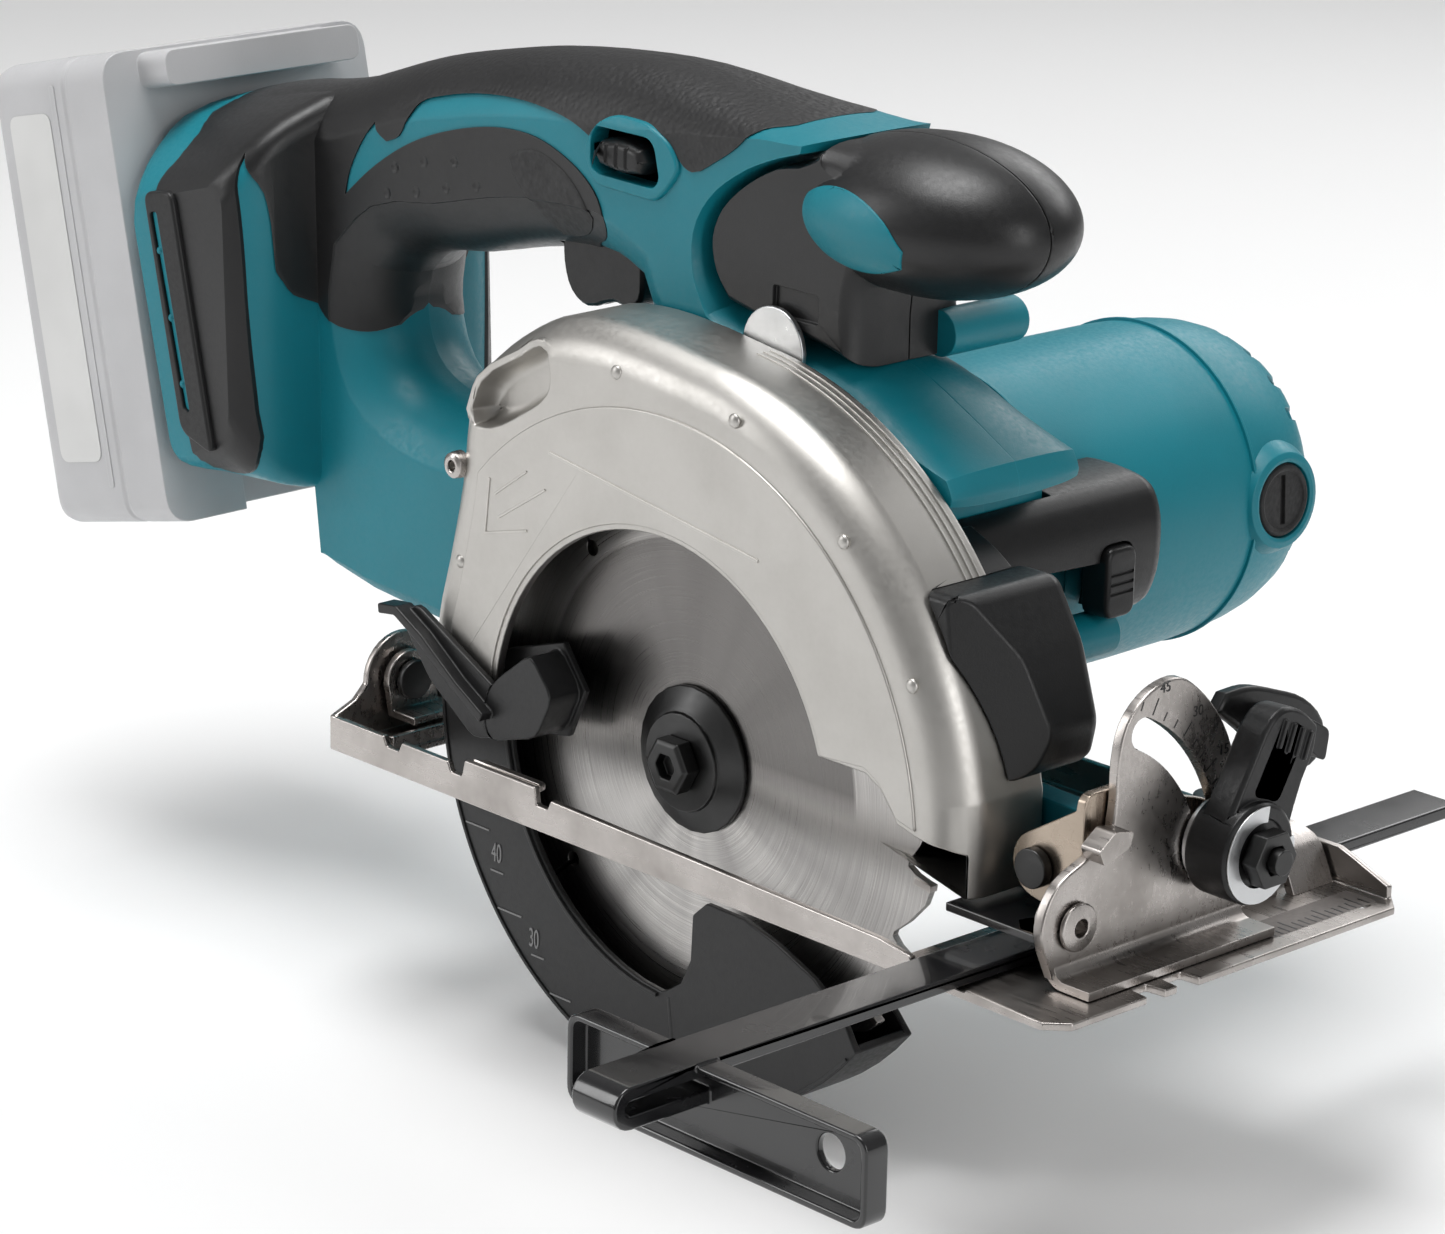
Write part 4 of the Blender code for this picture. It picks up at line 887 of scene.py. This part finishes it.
def guard_outline():
    points = [(85, -40), (85, 14)] + arc((0, 0), 86, 10, 85, 45)
    points += smoothed([
        (-5, 87.3), (-20, 88.2), (-34, 86.8), (-45, 82), (-55, 75), (-61, 69), (-63, 62), (-65, 47),
        (-69, 30), (-72.5, 17), (-73.5, 4), (-74, -40),
    ], 3)[:-2]
    return points


def below_guard():
    """Everything under the guard's slanted lower edge."""
    outline = [(-120, 4), (-73.5, 4), (85, -5), (120, -5), (120, -90), (-120, -90)]
    return slab("below", outline, "y", -60, 60)


def guard_window(low, high, grow=0):
    """The opening that shows the blade above the sole."""
    window = [(-49.1 - grow, 4)] + arc((0, 0), 49.3 + grow, 175, 18.2, 40)[1:]
    window += [
        (60, 15.4 + grow), (64.2, 13.2 + grow), (69, 7.4 + grow), (73.9, 6.2 + grow), (80.6, 5.2), (83.5, 4),
        (83.5, -60), (-49.1 - grow, -60),
    ]
    return slab("window", window, "y", low, high)


def guard_body():
    """The cast cover of the blade: rounded rim, hollow inside, hub, blade window and chip pocket."""
    outline = guard_outline()
    rim = [
        (GUARD_NEAR, 9), (-12.62, 7.8), (-12.4, 6.6), (-12, 5.5), (-11.4, 4.4), (-10.7, 3.5), (-9.6, 2.4),
        (-8.3, 1.45), (-6.6, 0.6), (-4.5, 0), (GUARD_FAR - 0.6, 0), (GUARD_FAR, 0.6),
    ]
    guard = stacked("upper_guard_body", outline, rim)
    cut(guard, stacked("hollow", outline, [(-10.4, 10), (-8.8, 5.6), (-4.5, 2.5), (8.8, 2.4)]))
    cut(guard, rod("swing_room", "y", (0, 0), 71.9, -10.4, 8.8, 128))
    cut(guard, below_guard())
    fuse(guard, rod("hub", "y", (0, 0), 16.5, 8.85, GUARD_FAR, 64))
    cut(guard, rod("hub_hole", "y", (0, 0), 14, 0, 20, 64))
    cut(guard, guard_window(-16, -6))
    wall = smoothed(POCKET, 3)
    fuse(guard, stacked("pocket_wall", inset(wall, -1.5), [(-11.6, 0), (-5.6, 0.6), (-4.4, 2.6)]))
    pocket = [(-6, 3.4), (-6.2, 2.5), (-6.8, 1.6), (-8, 0.8), (-10, 0.3), (-12.7, 0), (-20, -0.4)]
    return cut(guard, stacked("pocket", wall, pocket))


def guard_face():
    """The flat inner face, a step proud of the rim and set back round the blade window."""
    face = slab("upper_guard_face", circle((0, 0), 74.35, 160), "y", -13.15, -12.3)
    outline = inset(guard_outline(), 10)
    combine(face, slab("inside", outline, "y", -20, 0), "INTERSECT")
    cut(face, below_guard())
    near_pocket = inset(smoothed(POCKET, 3), -1.4)
    return cut(face, guard_window(-20, 0, 1.2), slab("near_pocket", near_pocket, "y", -20, 0))


GUARD_STROKES = {
    "line": ([(-32, 59.7), (0, 55.3), (29.7, 51)], 0.7),
    "shaft": ([(-33, 51.6), (-47.5, 42.6)], 0.55),
    "barb": ([(-50.4, 50.4), (-51.6, 38.4), (-38.6, 41.6)], 0.6),
    "tail": ([(-48.6, 47.4), (-38.8, 54.2)], 0.5),
}


def guard_marks():
    """Raised line and direction arrow on the face."""
    found = []
    for name, (path, width) in GUARD_STROKES.items():
        found.append(slab("guard_mark_" + name, band(path, width), "y", -13.4, -13))
    return found


def guard_ribs():
    """Fine casting lines round the rim, on the motor's side."""
    rib_path = arc((0, 0), 85.9, 12, 84, 60)
    ribs = slab("upper_guard_rib_0", band(rib_path, 0.7), "y", 5, 5.4)
    for level in (6.8, 8.6):
        fuse(ribs, slab("rib", band(rib_path, 0.7), "y", level, level + 0.4))
    return ribs


def lower_guard_lip():
    """Raised lip, rim line and bridge on the swinging guard's near plate."""
    lip = slab("lower_guard_lip", band(arc((0, 0), 50.6, -172, -93, 40), 0.9), "y", -8.7, -7.8)
    rim = slab("rim_line", band(arc((0, 0), 70.9, -188, -42, 70), 0.8), "y", -8.4, -7.8)
    return fuse(lip, slab("bridge", band([(0.6, -50.2), (3.4, -70.8)], 0.8), "y", -8.1, -7.7), rim)


def guard_dots():
    spots = [(-12.7, 80.2), (21.5, 77.4), (52.2, 60), (71.6, 36), (-60.2, 30)]
    return balls("upper_guard_dots", spots, -12.45, (1.5, 0.8, 1.5))


def build_guard():
    finish_piece(guard_body(), "saw", "cast_aluminium", 0.45, ["upper_guard"])
    finish_piece(guard_face(), "saw", "cast_aluminium", 0.35)
    for mark in guard_marks():
        finish_piece(mark, "saw", "cast_aluminium", 0.12)
    finish_piece(guard_ribs(), "saw", "cast_aluminium", 0.1)
    finish_piece(lower_guard_lip(), "swing_guard", "black_plastic", 0.15)
    dots = guard_dots()
    smooth_by_angle(dots)
    finish_piece(dots, "saw", "cast_aluminium")
    boss = turned("chute_screw_boss", "y", (-62.2, 50.4), [
        (1.2, -12.6), (1.2, -13.5), (1.9, -13.6), (2.7, -13.2), (2.9, -12.2), (2.9, -10.6), (1.2, -10.6),
    ], 32)
    finish_piece(boss, "saw", "bright_steel", 0.1)


# ---- numbers and scale lines

def number(name, text, size, spot, turn, depth):
    """Raised digits. The turn matrix carries flat x-y text to its plane."""
    data = bpy.data.curves.new(name, "FONT")
    data.body = text
    data.size = size
    data.extrude = depth
    data.align_x = "CENTER"
    data.align_y = "CENTER"
    made = new_object(name, data)
    mesh = current_mesh(made)
    bpy.data.objects.remove(made)
    mesh.transform(Matrix.Translation(spot) @ turn)
    return new_object(name, mesh)


FACE_RIGHT = Matrix.Rotation(math.radians(90), 4, "X")
FACE_FRONT = Matrix.Rotation(math.radians(90), 4, "Z") @ FACE_RIGHT
TALL = Matrix.Diagonal((0.8, 1.5, 1, 1))
DEPTH_LINES = ((-29.4, 1, 7.5), (-38, 4.5, 4), (-46, 1, 7.5), (-53.4, 4.5, 4), (-60.4, 1, 6.5))


def depth_marks():
    """Cutting-depth lines, parallel to the sole, and their numbers on the swinging guard."""
    for i, (height, gap, length) in enumerate(DEPTH_LINES):
        start = -math.sqrt(70.8 ** 2 - height ** 2) + gap
        line = rectangle(start, start + length, height - 0.17, height + 0.17)
        finish_piece(slab("depth_line_%d" % i, line, "y", -8.2, -7.9), "swing_guard", "mark_grey")
    for text, x, z in (("40", -53.4, -34), ("30", -41.2, -49.8)):
        digits = number("depth_number_" + text, text, 4, (x, -8.05, z), FACE_RIGHT @ TALL, 0.16)
        finish_piece(digits, "swing_guard", "mark_grey")


def quadrant_body():
    """The pressed arc plate: upright plate with its slot, a rounded bend into the foot, and a hooked tab."""
    plate = smoothed([
        (-9.5, -13.6), (-13.1, -4.3), (-12, 1), (-8.5, 5.4), (-1, 8.6), (5.2, 11.2), (6.2, 18), (6.3, 26),
        (8.2, 33), (13, 37.6), (18, 39.4), (23, 39.4), (28.5, 36), (33.5, 31), (37.5, 25), (40.6, 17),
        (42, 8), (42, -2), (44, -13.6),
    ], 3, 40)
    levels = [(105.5, 0.3), (105.8, 0), (107.5, 0), (107.85, 0.15), (108, 0.5)]
    quadrant = stacked("bevel_quadrant_body", plate, levels, "x")
    bend = [(105.5, -8), (105.5, -11)] + arc((109.7, -11), 4.2, 180, 270, 8) + [(117, -15.2), (117, -13.4)]
    bend += arc((110.6, -10.8), 2.6, 270, 180, 8) + [(108, -8)]
    fuse(quadrant, slab("foot", bend, "y", -9.4, 43.6))
    slot = band(arc(BEVEL_AXIS, BEVEL_SLOT, 9.5, SLOT_FINISH, 30), 6.4)
    slot_end = Vector(BEVEL_AXIS) + BEVEL_SLOT * spoke(SLOT_FINISH)
    cut(quadrant, slab("slot", slot, "x", 100, 112), rod("slot_end", "x", slot_end, 3.2, 100, 112, 32))
    cut(quadrant, rod("rivet_hole", "x", BEVEL_AXIS, 2.6, 100, 112, 32))
    tab = rounded([(-1.4, 8.4), (5.6, 10.6), (6.6, 13.6), (1.5, 14.6), (-2.9, 11.6)], 0.8, 4)
    return fuse(quadrant, slab("tab", tab, "x", 107.4, 112.4))


def degree_marks():
    """Angle lines and numbers raised on the face of the bevel quadrant."""
    centre = Vector(BEVEL_AXIS)
    for i, degrees in enumerate(range(0, 51, 5)):
        direction = spoke(18 + degrees)
        reach = 45.6 if degrees % 15 == 0 else 44
        line = band([centre + direction * 42.2, centre + direction * reach], 0.3)
        finish_piece(slab("degree_line_%d" % i, line, "x", 107.9, 108.06), "base", "dark_steel")
    for text, degrees in (("15", 33), ("30", 48), ("45", 62)):
        spot = centre + 48 * spoke(degrees)
        digits = number("degree_number_" + text, text, 3, (108, spot.x, spot.y), FACE_FRONT, 0.1)
        finish_piece(digits, "base", "dark_steel")


# ---- blade

TEETH = 24
FIRST_TOOTH = -7.2


def blade_tips():
    """Carbide tips brazed to the teeth."""
    bm = bmesh.new()
    for i in range(TEETH):
        tip = FIRST_TOOTH + i * 360 / TEETH
        outward = Vector(place("y", spoke(tip), 0))
        along = Vector(place("y", spoke(tip + 90), 0))
        middle = outward * 65.6 - along * 0.7
        frame = Matrix((along, Vector((0, 1, 0)), outward)).transposed().to_4x4()
        size = Matrix.Diagonal((1.5, 2.1, 4.6, 1))
        bmesh.ops.create_cube(bm, size=1, matrix=Matrix.Translation(middle) @ frame @ size)
    tips = to_object("blade_carbide_tips", bm)
    finish_piece(tips, "blade_unit", "bright_steel", 0.15)


# ---- rear bumpers

def build_bumpers():
    outline = [(-173.4, 88.6), (-163.1, 90.3), (-149.2, 32.9), (-160.8, 36.1)]
    slot = [(-170.8, 84.4), (-168.4, 84.8), (-157.2, 41.2), (-159.4, 41.6)]
    studs = [(-168.2, 76), (-164.4, 61.4), (-160.6, 47)]
    for side, name in ((-1, "right_rear_bumper"), (1, "left_rear_bumper")):
        near = SEAM + side * 37.2
        far = SEAM + side * 39.3
        levels = [(near, 0), (far - side * 0.5, 0), (far, 0.5)]
        strip = stacked(name + "_strip", rounded(outline, 3, 5), levels)
        low = min(near, far) - (2.6 if side > 0 else 3)
        cut(strip, slab("slot", rounded(slot, 0.8, 3), "y", low, max(near, far) + 3))
        finish_piece(strip, "saw", "black_rubber", 0.3, [name])
        level = SEAM + side * 37.9
        inlay = slab(name + "_inlay", rounded(inset(slot, 0.1), 0.6, 3), "y", level - 0.6, level + 0.4)
        fuse(inlay, balls("studs", studs, level + side * 0.2, (1, 1, 1)))
        finish_piece(inlay, "saw", "teal_plastic", 0.1)


# ---- motor

BRUSH_ANGLE = 3
BRUSH_LEVEL = 130
CLEAR_OF_CAPS = 0.36


def motor_shell():
    """The motor barrel: rounded shoulders, an end notched all round except at the brush caps, and vents."""
    centre = Vector(MOTOR)
    profile = [
        (0, 48.4), (35, 48.4), (35.2, 49), (35.2, 60), (35.3, 78), (35.4, 98), (35.2, 116), (34.8, 125),
        (34.2, 131), (33.2, 136.4), (31.6, 141.2), (29.6, 144.6), (26.6, 147.4), (22, 149.2), (12, 149.9),
        (0, 150),
    ]
    shell = turned("motor_barrel", "y", MOTOR, profile, 96)
    inside = [(0, 44), (32.4, 44), (32.4, 120), (30.2, 137), (22.8, 145.4), (0, 147)]
    cut(shell, turned("inside", "y", MOTOR, inside, 96))
    for i in range(24):
        if abs(math.sin(math.radians(i * 15))) < CLEAR_OF_CAPS:
            continue
        outward = spoke(i * 15 + BRUSH_ANGLE)
        slot = band([centre + outward * 26.5, centre + outward * 40], 2.6)
        cut(shell, slab("scallop", slot, "y", 140.5, 160))
    for i in range(10):
        outward = spoke(18 + i * 36)
        cut(shell, slab("vent", band([centre + outward * 15, centre + outward * 26], 2.6), "y", 140, 160))
    for angle in (BRUSH_ANGLE, BRUSH_ANGLE + 180):
        cut(shell, point_outwards(rod("brush_hole", "z", (0, 0), 8.3, 24, 60, 40), angle))
    return shell


def point_outwards(obj, angle):
    """Turns a shape made along z away from the motor's axis, level with the brushes."""
    return aim(obj, place("y", spoke(angle), 0), place("y", MOTOR, BRUSH_LEVEL))


def brush_cap(name, angle):
    """Screw cap with a rounded rim and a coin slot."""
    profile = [
        (0, 30.2), (7.9, 30.2), (7.9, 35.4), (7.5, 36), (6.9, 36.2), (6.4, 35.9), (6.2, 35.5), (0, 35.5),
    ]
    cap = turned(name, "z", (0, 0), profile, 48)
    cut(cap, slab("slot", rectangle(-5.4, 5.4, -0.8, 0.8), "z", 34.4, 40))
    return point_outwards(cap, angle)


def brush_boss(angle):
    """The raised ring of the barrel round a brush cap."""
    profile = [(8.2, 30.5), (8.2, 36), (9, 36.3), (10.4, 35.9), (12.2, 32.6), (12.6, 30.5)]
    return point_outwards(turned("brush_boss_%d" % angle, "z", (0, 0), profile), angle)


def build_screw(name, centre, low, high):
    """A housing screw sunk in its boss."""
    floor = high - 2.2
    sunk = [(0, floor), (2.4, floor), (2.4, high), (4.1, high), (4.8, high - 0.8), (4.8, low), (0, low)]
    finish_piece(turned("screw_boss_" + name, "y", centre, sunk, 40), "saw", "teal_plastic", 0.2)
    head = [(0, high - 2.4), (2.2, high - 2.4), (2.2, high - 0.9), (1.7, high - 0.5), (0, high - 0.4)]
    screw = turned("screw_head_" + name, "y", centre, head, 32)
    cut(screw, rod("drive", "y", centre, 1, high - 1.6, high + 3, 6))
    finish_piece(screw, "saw", "dark_steel", 0.1)


def build_motor():
    shell = motor_shell()
    finish_piece(shell, "saw", "teal_plastic", 0.35, ["motor_housing"])
    for level, name in ((63, "motor_band_inner"), (122, "motor_band_outer")):
        ring = turned(name, "y", MOTOR, [
            (34.6, level - 0.5), (35.62, level - 0.35), (35.62, level + 0.35), (34.6, level + 0.5),
        ], 96)
        finish_piece(ring, "saw", "teal_plastic", 0.1)
    for name, angle in (("front_brush_cap", BRUSH_ANGLE), ("rear_brush_cap", BRUSH_ANGLE + 180)):
        finish_piece(brush_cap(name + "_body", angle), "saw", "cap_mesh", 0.15, [name])
    for angle in (BRUSH_ANGLE, BRUSH_ANGLE + 180):
        finish_piece(brush_boss(angle), "saw", "teal_plastic", 0.2)
    for x, z, high in ((27, 88, 60), (50, 26, 66)):
        build_screw("%d" % x, (x, z), 38, high)


# ---- bevel lever, hood and nose

def bevel_lever_body():
    """Cam lever: a round hub, a ribbed arm with an open web, and a thumb pad behind the quadrant."""
    hub = turned("bevel_lever_body", "x", BOLT, [
        (2.9, 110.2), (9.6, 110.2), (10.2, 110.8), (10.2, 120), (9.4, 120.8), (7.2, 120.8), (7, 120.2),
        (2.9, 120.2),
    ], 64)
    arm = smoothed([
        (24.6, 9), (32.4, 22.6), (37.6, 30.4), (41.4, 32), (46.6, 30.4), (51.6, 26.4), (50.6, 21),
        (47.8, 16), (42.6, 1),
    ], 3)
    fuse(hub, stacked("arm", arm, [(111.4, 0.8), (112, 0.2), (117.8, 0), (118.6, 0.7)], "x"))
    gap = rounded([(33.2, 16.4), (40.4, 13.6), (43.6, 20), (40, 25.4)], 1.6, 4)
    cut(hub, slab("web", gap, "x", 114.2, 130))
    fuse(hub, slab("neck", rounded([(49, 22.5), (56, 17.5), (57, 24), (50, 28)], 1.6, 4), "x", 101, 117))
    pad = smoothed([
        (38.4, 28), (41, 31.4), (48, 31.4), (56, 29), (64.6, 25.4), (70.6, 19.6), (71.6, 14), (67.4, 10.8),
        (61, 11.2), (54, 15.4), (46.6, 22),
    ], 3)
    fuse(hub, stacked("pad", pad, [(100.6, 1), (101, 0.3), (103.8, 0), (104.4, 0.8)], "x"))
    for i in range(4):
        spot = Vector((41.6 + i * 2.5, 29.8 - i * 1.3))
        rib = band([spot, spot + Vector((-2, -5.4))], 0.9)
        fuse(hub, slab("rib", rib, "x", 118.2, 119.3))
    return hub


def guard_room():
    """The space that the blade guard takes up."""
    return rod("guard_room", "y", (0, 0), 86.5, -20, 11.7, 128)


def hood_body():
    """The cover of the shaft lock: a lip over an open recess, with an end wall on the motor's side."""
    outline = smoothed([
        (30, 29), (44, 29.2), (51, 30.2), (54.2, 35), (55.6, 44), (54.9, 51), (52, 56), (46, 57.8),
        (30, 58),
    ], 4, 60)
    levels = [(20, 2.5), (20.6, 1.2), (21.4, 0.5), (23, 0), (73.4, 0), (75.4, 0.5), (76.4, 1.2), (77, 2.5)]
    hood = stacked("shaft_lock_hood_body", outline, levels)
    cut(hood, rod("motor_clear", "y", MOTOR, 35.9, 10, 90, 96))
    cut(hood, slab("body_clear", rectangle(0, 48.9, 10, 80), "y", 10, 48.8))
    recess = rounded([(25, 20), (67.2, 20), (67.2, 42.4), (25, 44.6)], 3, 6)
    cut(hood, slab("recess", recess, "x", 40, 60))
    return cut(hood, slab("button_seat", rounded(rectangle(57.2, 66.8, 30.6, 46.4), 3, 5), "x", 46.2, 60))


def guard_strip():
    """Black wall that follows the guard's rim from the hood down to the blower nozzle."""
    outer = [(52.6, 57), (60, 53.8), (66, 49.6), (71.6, 43), (75, 36.4)]
    inner = [(73, 36), (69.6, 42.2), (64.4, 48.4), (58.4, 52.4), (51.6, 55.4)]
    levels = [(12, 0.6), (12.6, 0), (22, 0), (22.8, 0.8)]
    strip = stacked("shaft_lock_hood_strip", smoothed(outer + inner, 3, 50), levels)
    return cut(strip, guard_room())


def shaft_button():
    button = stacked("shaft_lock_button_body", rounded(rectangle(57.5, 66.5, 31, 46), 3, 6),
                     [(50.6, 0), (56.2, 0), (57, 0.35), (57.4, 1.1)], "x")
    for z in (36.5, 38.5, 40.5):
        cut(button, slab("ridge", rectangle(58.6, 65.4, z - 0.3, z + 0.3), "x", 56.9, 60))
    return button


def half_space(point, normal):
    """A large block that fills the side of a plane its normal points to."""
    return aim(slab("half_space", rectangle(-60, 60, -60, 60), "z", 0, 90), normal, point)


def nose_body():
    """The blower nozzle and lamp holder in front of the blade guard, cut in broad facets."""
    outline = rounded([
        (60, 42), (67, 53), (77, 53), (84.4, 41), (89.2, 26), (87.6, 18.4), (78, 14), (66, 16),
    ], 2.4, 5)
    levels = [
        (-7, 1.6), (-6.6, 0.9), (-5.8, 0.3), (-4.6, 0), (19.4, 0), (21.2, 0.5), (22.1, 1.2), (22.5, 2.2),
    ]
    nose = stacked("nose_cover_body", outline, levels)
    top = Vector((74.5, -7, 53.4))
    bottom = Vector((89.3, 7.5, 20))
    heel = Vector((79.5, -7, 15))
    normal = (bottom - top).cross(heel - top)
    if normal.x < 0:
        normal = -normal
    cut(nose, half_space(top, normal), half_space((84, 22.5, 40), (0.62, 0.74, 0.24)))
    cut(nose, guard_room())
    return cut(nose, rod("lamp_seat", "z", (78, 15.5), 3.4, 8, 21.6, 32))


def lever_clip():
    """Open spring washer under the lever's nut."""
    ring = band(arc(BOLT, 8.1, 78, 372, 40), 3.2)
    return slab("bevel_lever_clip", ring, "x", 120.85, 121.15)


def fence_arch():
    """Pressed arch of the base over the rip fence."""
    crown = [
        (81.6, -15.4), (82.2, -11), (84.6, -7.2), (88.6, -5.6), (96.6, -5.6), (100.6, -7.2), (103, -11),
        (105, -15.4),
    ]
    hollow = [
        (102.8, -15.4), (101, -11.4), (99.2, -8.8), (96, -7.4), (89.2, -7.4), (86.2, -8.8), (84.2, -11.6),
        (83.6, -15.4),
    ]
    return slab("base_fence_arch", smoothed(crown + hollow, 3, 60), "y", 63.5, 75.6)


def fence_body():
    """The rip fence: a strap folded back under itself at its end, and a guide pressed as a shallow tray."""
    path = [(125, -13.6), (-105.8, -13.6)] + arc((-105.8, -16.35), 2.75, 90, 270, 10)[1:] + [(-86, -19.1)]
    fence = slab("rip_fence_body", band(path, 2.8), "x", 85.2, 96.8)
    tray = slab("tray", rounded(rectangle(62, 140, -30, -12.4), 3.5, 6), "y", -90.5, -85)
    cut(tray, slab("inner", rounded(rectangle(63.5, 138.5, -28.5, -13.7), 2.4, 6), "y", -95, -86.8))
    fuse(fence, tray)
    return cut(fence, rod("hole", "y", (127.5, -19.8), 3.4, -95, -80, 40))


def build_fittings():
    finish_piece(bevel_lever_body(), "bevel_lock", "black_plastic", 0.3, ["bevel_lever"])
    finish_piece(hood_body(), "saw", "black_plastic", 0.3, ["shaft_lock_hood"])
    finish_piece(shaft_button(), "shaft_lock", "black_plastic", 0.2, ["shaft_lock_button"])
    finish_piece(nose_body(), "saw", "black_plastic", 0.6, ["nose_cover"])
    finish_piece(guard_strip(), "saw", "black_plastic", 0.3)
    finish_piece(lever_clip(), "bevel_lock", "zinc", 0.06)
    finish_piece(quadrant_body(), "base", "bright_steel", 0.12, ["bevel_quadrant"])
    finish_piece(fence_arch(), "base", "bright_steel", 0.2)
    finish_piece(fence_body(), "fence", "black_steel", 0.5, ["rip_fence"])


# ---- trigger, battery and base details

def build_trigger():
    """The trigger's front is a concave finger rest with upright ribs."""
    outline = smoothed([
        (-66, 96), (-66, 88.5), (-63.4, 82.2), (-58.6, 79.9), (-50, 82.4), (-45, 81.7), (-41.6, 84.2),
        (-41, 90), (-41, 96),
    ], 3, 60)
    body = stacked("trigger_body", outline, [(20, 0.8), (20.8, 0), (39.2, 0), (40, 0.8)])
    for i in range(6):
        level = 22.6 + i * 2.95
        groove = band([(-62.6, 84.6), (-58.4, 79.4), (-50, 81.9), (-45, 81.2)], 1)
        cut(body, slab("groove", groove, "y", level - 0.4, level + 0.4))
    finish_piece(body, "trigger_unit", "black_plastic", 0.2, ["trigger"])


BATTERY_PIVOT = Vector((-182, 0, 83))
BATTERY_LEAN = math.radians(-12.9)
SOLE = -15.5


def lean_back(obj):
    """Tips an upright shape to the battery's slope."""
    lean = Matrix.Rotation(BATTERY_LEAN, 4, "Y")
    turn = Matrix.Translation(BATTERY_PIVOT) @ lean @ Matrix.Translation(-BATTERY_PIVOT)
    obj.data.transform(turn)
    return obj


def build_battery():
    """A pale pack: rounded case with a groove round it, a head that slides home, and blank labels."""
    outline = rounded(rectangle(-8, 67, 11, 117.5), 7, 8)
    levels = [
        (-228.2, 4.4), (-227.9, 3), (-227, 1.5), (-225.6, 0.5), (-223.6, 0), (-199.2, 0), (-198.6, 0.45),
        (-197.8, 0.45), (-197.2, 0), (-182.7, 0),
    ]
    pack = stacked("battery_case", outline, levels, "x")
    fuse(pack, slab("head", rounded(rectangle(2, 57, 108.4, 116.5), 3, 6), "x", -190, -172))
    cut(pack, slab("channel", rectangle(-195.5, -180, -10, 78.6), "y", 14, 46))
    cut(pack, slab("button_seat", rounded(rectangle(19.6, 39.4, 93, 106), 3, 6), "x", -240, -220.6))
    finish_piece(lean_back(pack), "battery", "grey_plastic", 0.3, ["battery_pack"])
    label = rounded(rectangle(-221, -205, 26, 106), 3, 6)
    ridge = rounded(rectangle(-203.6, -201.8, 20, 112), 0.8, 3)
    for level, name in ((-8.15, "right"), (67.15, "left")):
        sticker = slab("battery_label_" + name, label, "y", level - 0.1, level + 0.1)
        finish_piece(lean_back(sticker), "battery", "label", 0.08)
        panel = slab("battery_panel_" + name, ridge, "y", level - 0.12, level + 0.12)
        finish_piece(lean_back(panel), "battery", "grey_plastic", 0.05)
    top = slab("battery_label_top", rounded(rectangle(-222, -203, 10, 49), 3, 6), "z", 117.4, 117.62)
    finish_piece(lean_back(top), "battery", "label", 0.08)


def build_base_marks():
    """Cutting-width scale along the front edge of the base."""
    for i in range(27):
        y = 20 + i * 2
        start = 112.4 if i % 5 == 0 else 114.2
        line = slab("width_line_%d" % i, rectangle(start, 117.2, y - 0.2, y + 0.2), "z", SOLE, -15.33)
        finish_piece(line, "base", "dark_steel")
    etched = slab("width_scale_band", rounded(rectangle(109.6, 117.6, 17, 74), 1, 3), "z", SOLE, -15.38)
    finish_piece(etched, "base", "etched")


# ---- dressing the frame

CAD_EDGE = 0.3
SOFT_EDGES = {"base_plate": 0.35, "lower_guard": 0.4, "blade": 0.08}
OWN_LOOK = {"blade": "blade_steel", "bevel_lock_nut": "dark_steel", "bevel_lock_bolt": "dark_steel",
            "guard_washer": "zinc", "bevel_lock_washer": "zinc"}


def dress_frame(frame, slots):
    for name, node in frame["nodes"].items():
        paint(node, OWN_LOOK.get(name, slots[name]), SOFT_EDGES.get(name, CAD_EDGE))


def corners(box):
    return [list(map(float, box[0])), list(map(float, box[1]))]


def main():
    for obj in list(bpy.data.objects):
        bpy.data.objects.remove(obj)
    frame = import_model()
    cad_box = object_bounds()
    slots = {name: node.data.materials[0].name for name, node in frame["nodes"].items()}
    build_materials()
    build_camera()
    build_studio(cad_box[0].z - FLOOR_GAP)
    dress_frame(frame, slots)
    build_housing()
    build_grip()
    build_guard()
    build_bumpers()
    build_motor()
    build_fittings()
    build_trigger()
    build_battery()
    build_base_marks()
    depth_marks()
    degree_marks()
    blade_tips()


main()
